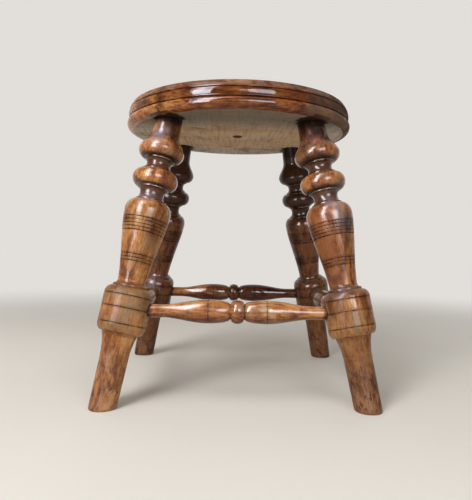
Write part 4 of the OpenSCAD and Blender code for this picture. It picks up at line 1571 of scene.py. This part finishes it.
class STOOL_OT_set_stage(bpy.types.Operator):
    """Sets the pale floor, the soft light and the camera"""
    bl_idname = "stool.set_stage"
    bl_label = "Set the stage"

    def execute(self, context):
        stage = context.scene.stool_stage
        self.lay_floor(stage)
        self.light_world(context.scene, stage)
        for lamp in SOFT_WINDOWS:
            self.hang_lamp(*lamp).visible_glossy = False
        for lamp in FAR_WINDOWS:
            self.hang_lamp(*lamp)
        for lamp in BRIGHT_PANES:
            self.hang_lamp(*lamp).visible_diffuse = False
        self.place_camera(context.scene, stage)
        context.scene.view_settings.view_transform = "Standard"
        return {"FINISHED"}

    @staticmethod
    def lay_floor(stage):
        """A wide pale floor, which takes the stool's shadow."""
        line = np.linspace(-FLOOR_REACH, FLOOR_REACH, FLOOR_STEPS + 1)
        points = [(x, y, 0.0) for y in line for x in line]
        row = FLOOR_STEPS + 1
        faces = [(i*row + j, i*row + j + 1, (i + 1)*row + j + 1, (i + 1)*row + j)
                 for i in range(FLOOR_STEPS) for j in range(FLOOR_STEPS)]
        mesh = bpy.data.meshes.new("floor")
        mesh.from_pydata(points, [], faces)
        floor = new_object("floor", mesh)
        recipe = Recipe("floor_paint")
        place = recipe.node("TexCoord", {}, "Object")
        cloudy = recipe.step(recipe.noise(place, 0.25, detail=3), 0.3, 0.7, 0.97, 1.03)
        grey = recipe.node("CombineColor", {0: cloudy, 1: cloudy, 2: cloudy})
        tint = recipe.blend(1.0, stage.floor, grey, "MULTIPLY")
        recipe.finish(Base_Color=tint, Roughness=0.9, Specular_IOR_Level=0.0)
        # Far from the stool the floor runs into the wall's colour, for the camera, in reflections and
        # through clear things
        rays = recipe.rays()
        shown = recipe.larger(rays["Is Camera Ray"], rays["Is Glossy Ray"])
        shown = recipe.larger(shown, rays["Is Transmission Ray"])
        fade = recipe.times(shown, recipe.step(recipe.away(place), 0.45, 1.5))
        glow = recipe.node("Emission", {"Color": stage.wall, "Strength": 1.0})
        surface = recipe.node("MixShader", {0: fade, 1: recipe.shader.outputs[0], 2: glow})
        recipe.feed(recipe.tree.nodes["Material Output"].inputs["Surface"], surface)
        mesh.materials.append(recipe.material)

    @staticmethod
    def light_world(scene, stage):
        """A pale room: the wall's colour, brighter behind the stool than in front of it."""
        world = bpy.data.worlds.new("room")
        scene.world = world
        world.use_nodes = True
        room = Nodes(world.node_tree)
        depth = room.node("SeparateXYZ", {0: room.node("TexCoord", {}, "Generated")}, "Y")
        lit = room.step(depth, -0.1, 0.6, 0.18, 0.88)
        # The camera and clear things see the wall at full level all round, gloss sees it behind the stool
        rays = room.rays()
        shown = room.times(room.calculate("GREATER_THAN", depth, 0.55), rays["Is Glossy Ray"])
        shown = room.larger(rays["Is Camera Ray"], shown)
        shown = room.larger(shown, rays["Is Transmission Ray"])
        level = room.node("Mix", {"Factor": shown, 2: lit, 3: 1.0})
        background = world.node_tree.nodes["Background"]
        room.feed(background.inputs["Color"], stage.wall)
        room.feed(background.inputs["Strength"], level)

    @staticmethod
    def hang_lamp(name, bearing, elevation, distance, width, height, radiance, tint):
        """A soft rectangular lamp, aimed at the stool and hidden from the camera."""
        data = bpy.data.lights.new(name, "AREA")
        data.shape = "RECTANGLE"
        data.size, data.size_y = width, height
        data.energy = radiance*math.pi*width*height
        data.color = tint
        lamp = new_object(name, data)
        turn, rise = math.radians(bearing), math.radians(elevation)
        lamp.location = LAMP_TARGET + distance*Vector(
            (math.sin(turn)*math.cos(rise), -math.cos(turn)*math.cos(rise), math.sin(rise)))
        lamp.rotation_euler = (LAMP_TARGET - lamp.location).to_track_quat("-Z", "Y").to_euler()
        lamp.visible_camera = False
        return lamp

    @staticmethod
    def place_camera(scene, stage):
        """The camera at the photograph's angle."""
        data = bpy.data.cameras.new("camera")
        data.sensor_fit = "AUTO"
        data.lens = stage.focal_pixels/PHOTO_HEIGHT*data.sensor_width
        data.clip_start = 0.01
        camera = new_object("camera", data)
        turn = (Matrix.Rotation(stage.camera_yaw, 4, "Z")
                @ Matrix.Rotation(math.pi/2 + stage.camera_pitch, 4, "X")
                @ Matrix.Rotation(stage.camera_roll, 4, "Z"))
        camera.matrix_world = Matrix.Translation(stage.camera_place) @ turn
        scene.camera = camera


class STOOL_PT_panel(bpy.types.Panel):
    """Lists the steps that make the stool"""
    bl_idname = "STOOL_PT_panel"
    bl_label = "Turned stool"
    bl_space_type = "VIEW_3D"
    bl_region_type = "UI"
    bl_category = "Stool"

    def draw(self, context):
        layout = self.layout
        for step in STEPS:
            layout.operator(step.bl_idname)


GROUPS = {
    "stool_seat": StoolSeatSizes,
    "stool_leg": StoolLegSizes,
    "stool_stretcher": StoolStretcherSizes,
    "stool_finish": StoolFinish,
    "stool_stage": StoolStage,
}
STEPS = (
    STOOL_OT_turn_seat,
    STOOL_OT_turn_legs,
    STOOL_OT_turn_stretchers,
    STOOL_OT_finish_wedges,
    STOOL_OT_set_stage,
)


def register():
    for group in GROUPS.values():
        bpy.utils.register_class(group)
    for name, group in GROUPS.items():
        setattr(bpy.types.Scene, name, bpy.props.PointerProperty(type=group))
    for step in STEPS:
        bpy.utils.register_class(step)
    bpy.utils.register_class(STOOL_PT_panel)


def unregister():
    bpy.utils.unregister_class(STOOL_PT_panel)
    for step in reversed(STEPS):
        bpy.utils.unregister_class(step)
    for name in GROUPS:
        delattr(bpy.types.Scene, name)
    for group in reversed(GROUPS.values()):
        bpy.utils.unregister_class(group)


def main():
    """Makes the stool and its stage."""
    register()
    bpy.ops.stool.turn_seat()
    bpy.ops.stool.turn_legs()
    bpy.ops.stool.turn_stretchers()
    bpy.ops.stool.finish_wedges()
    bpy.ops.stool.set_stage()


if __name__ == "__main__":
    main()
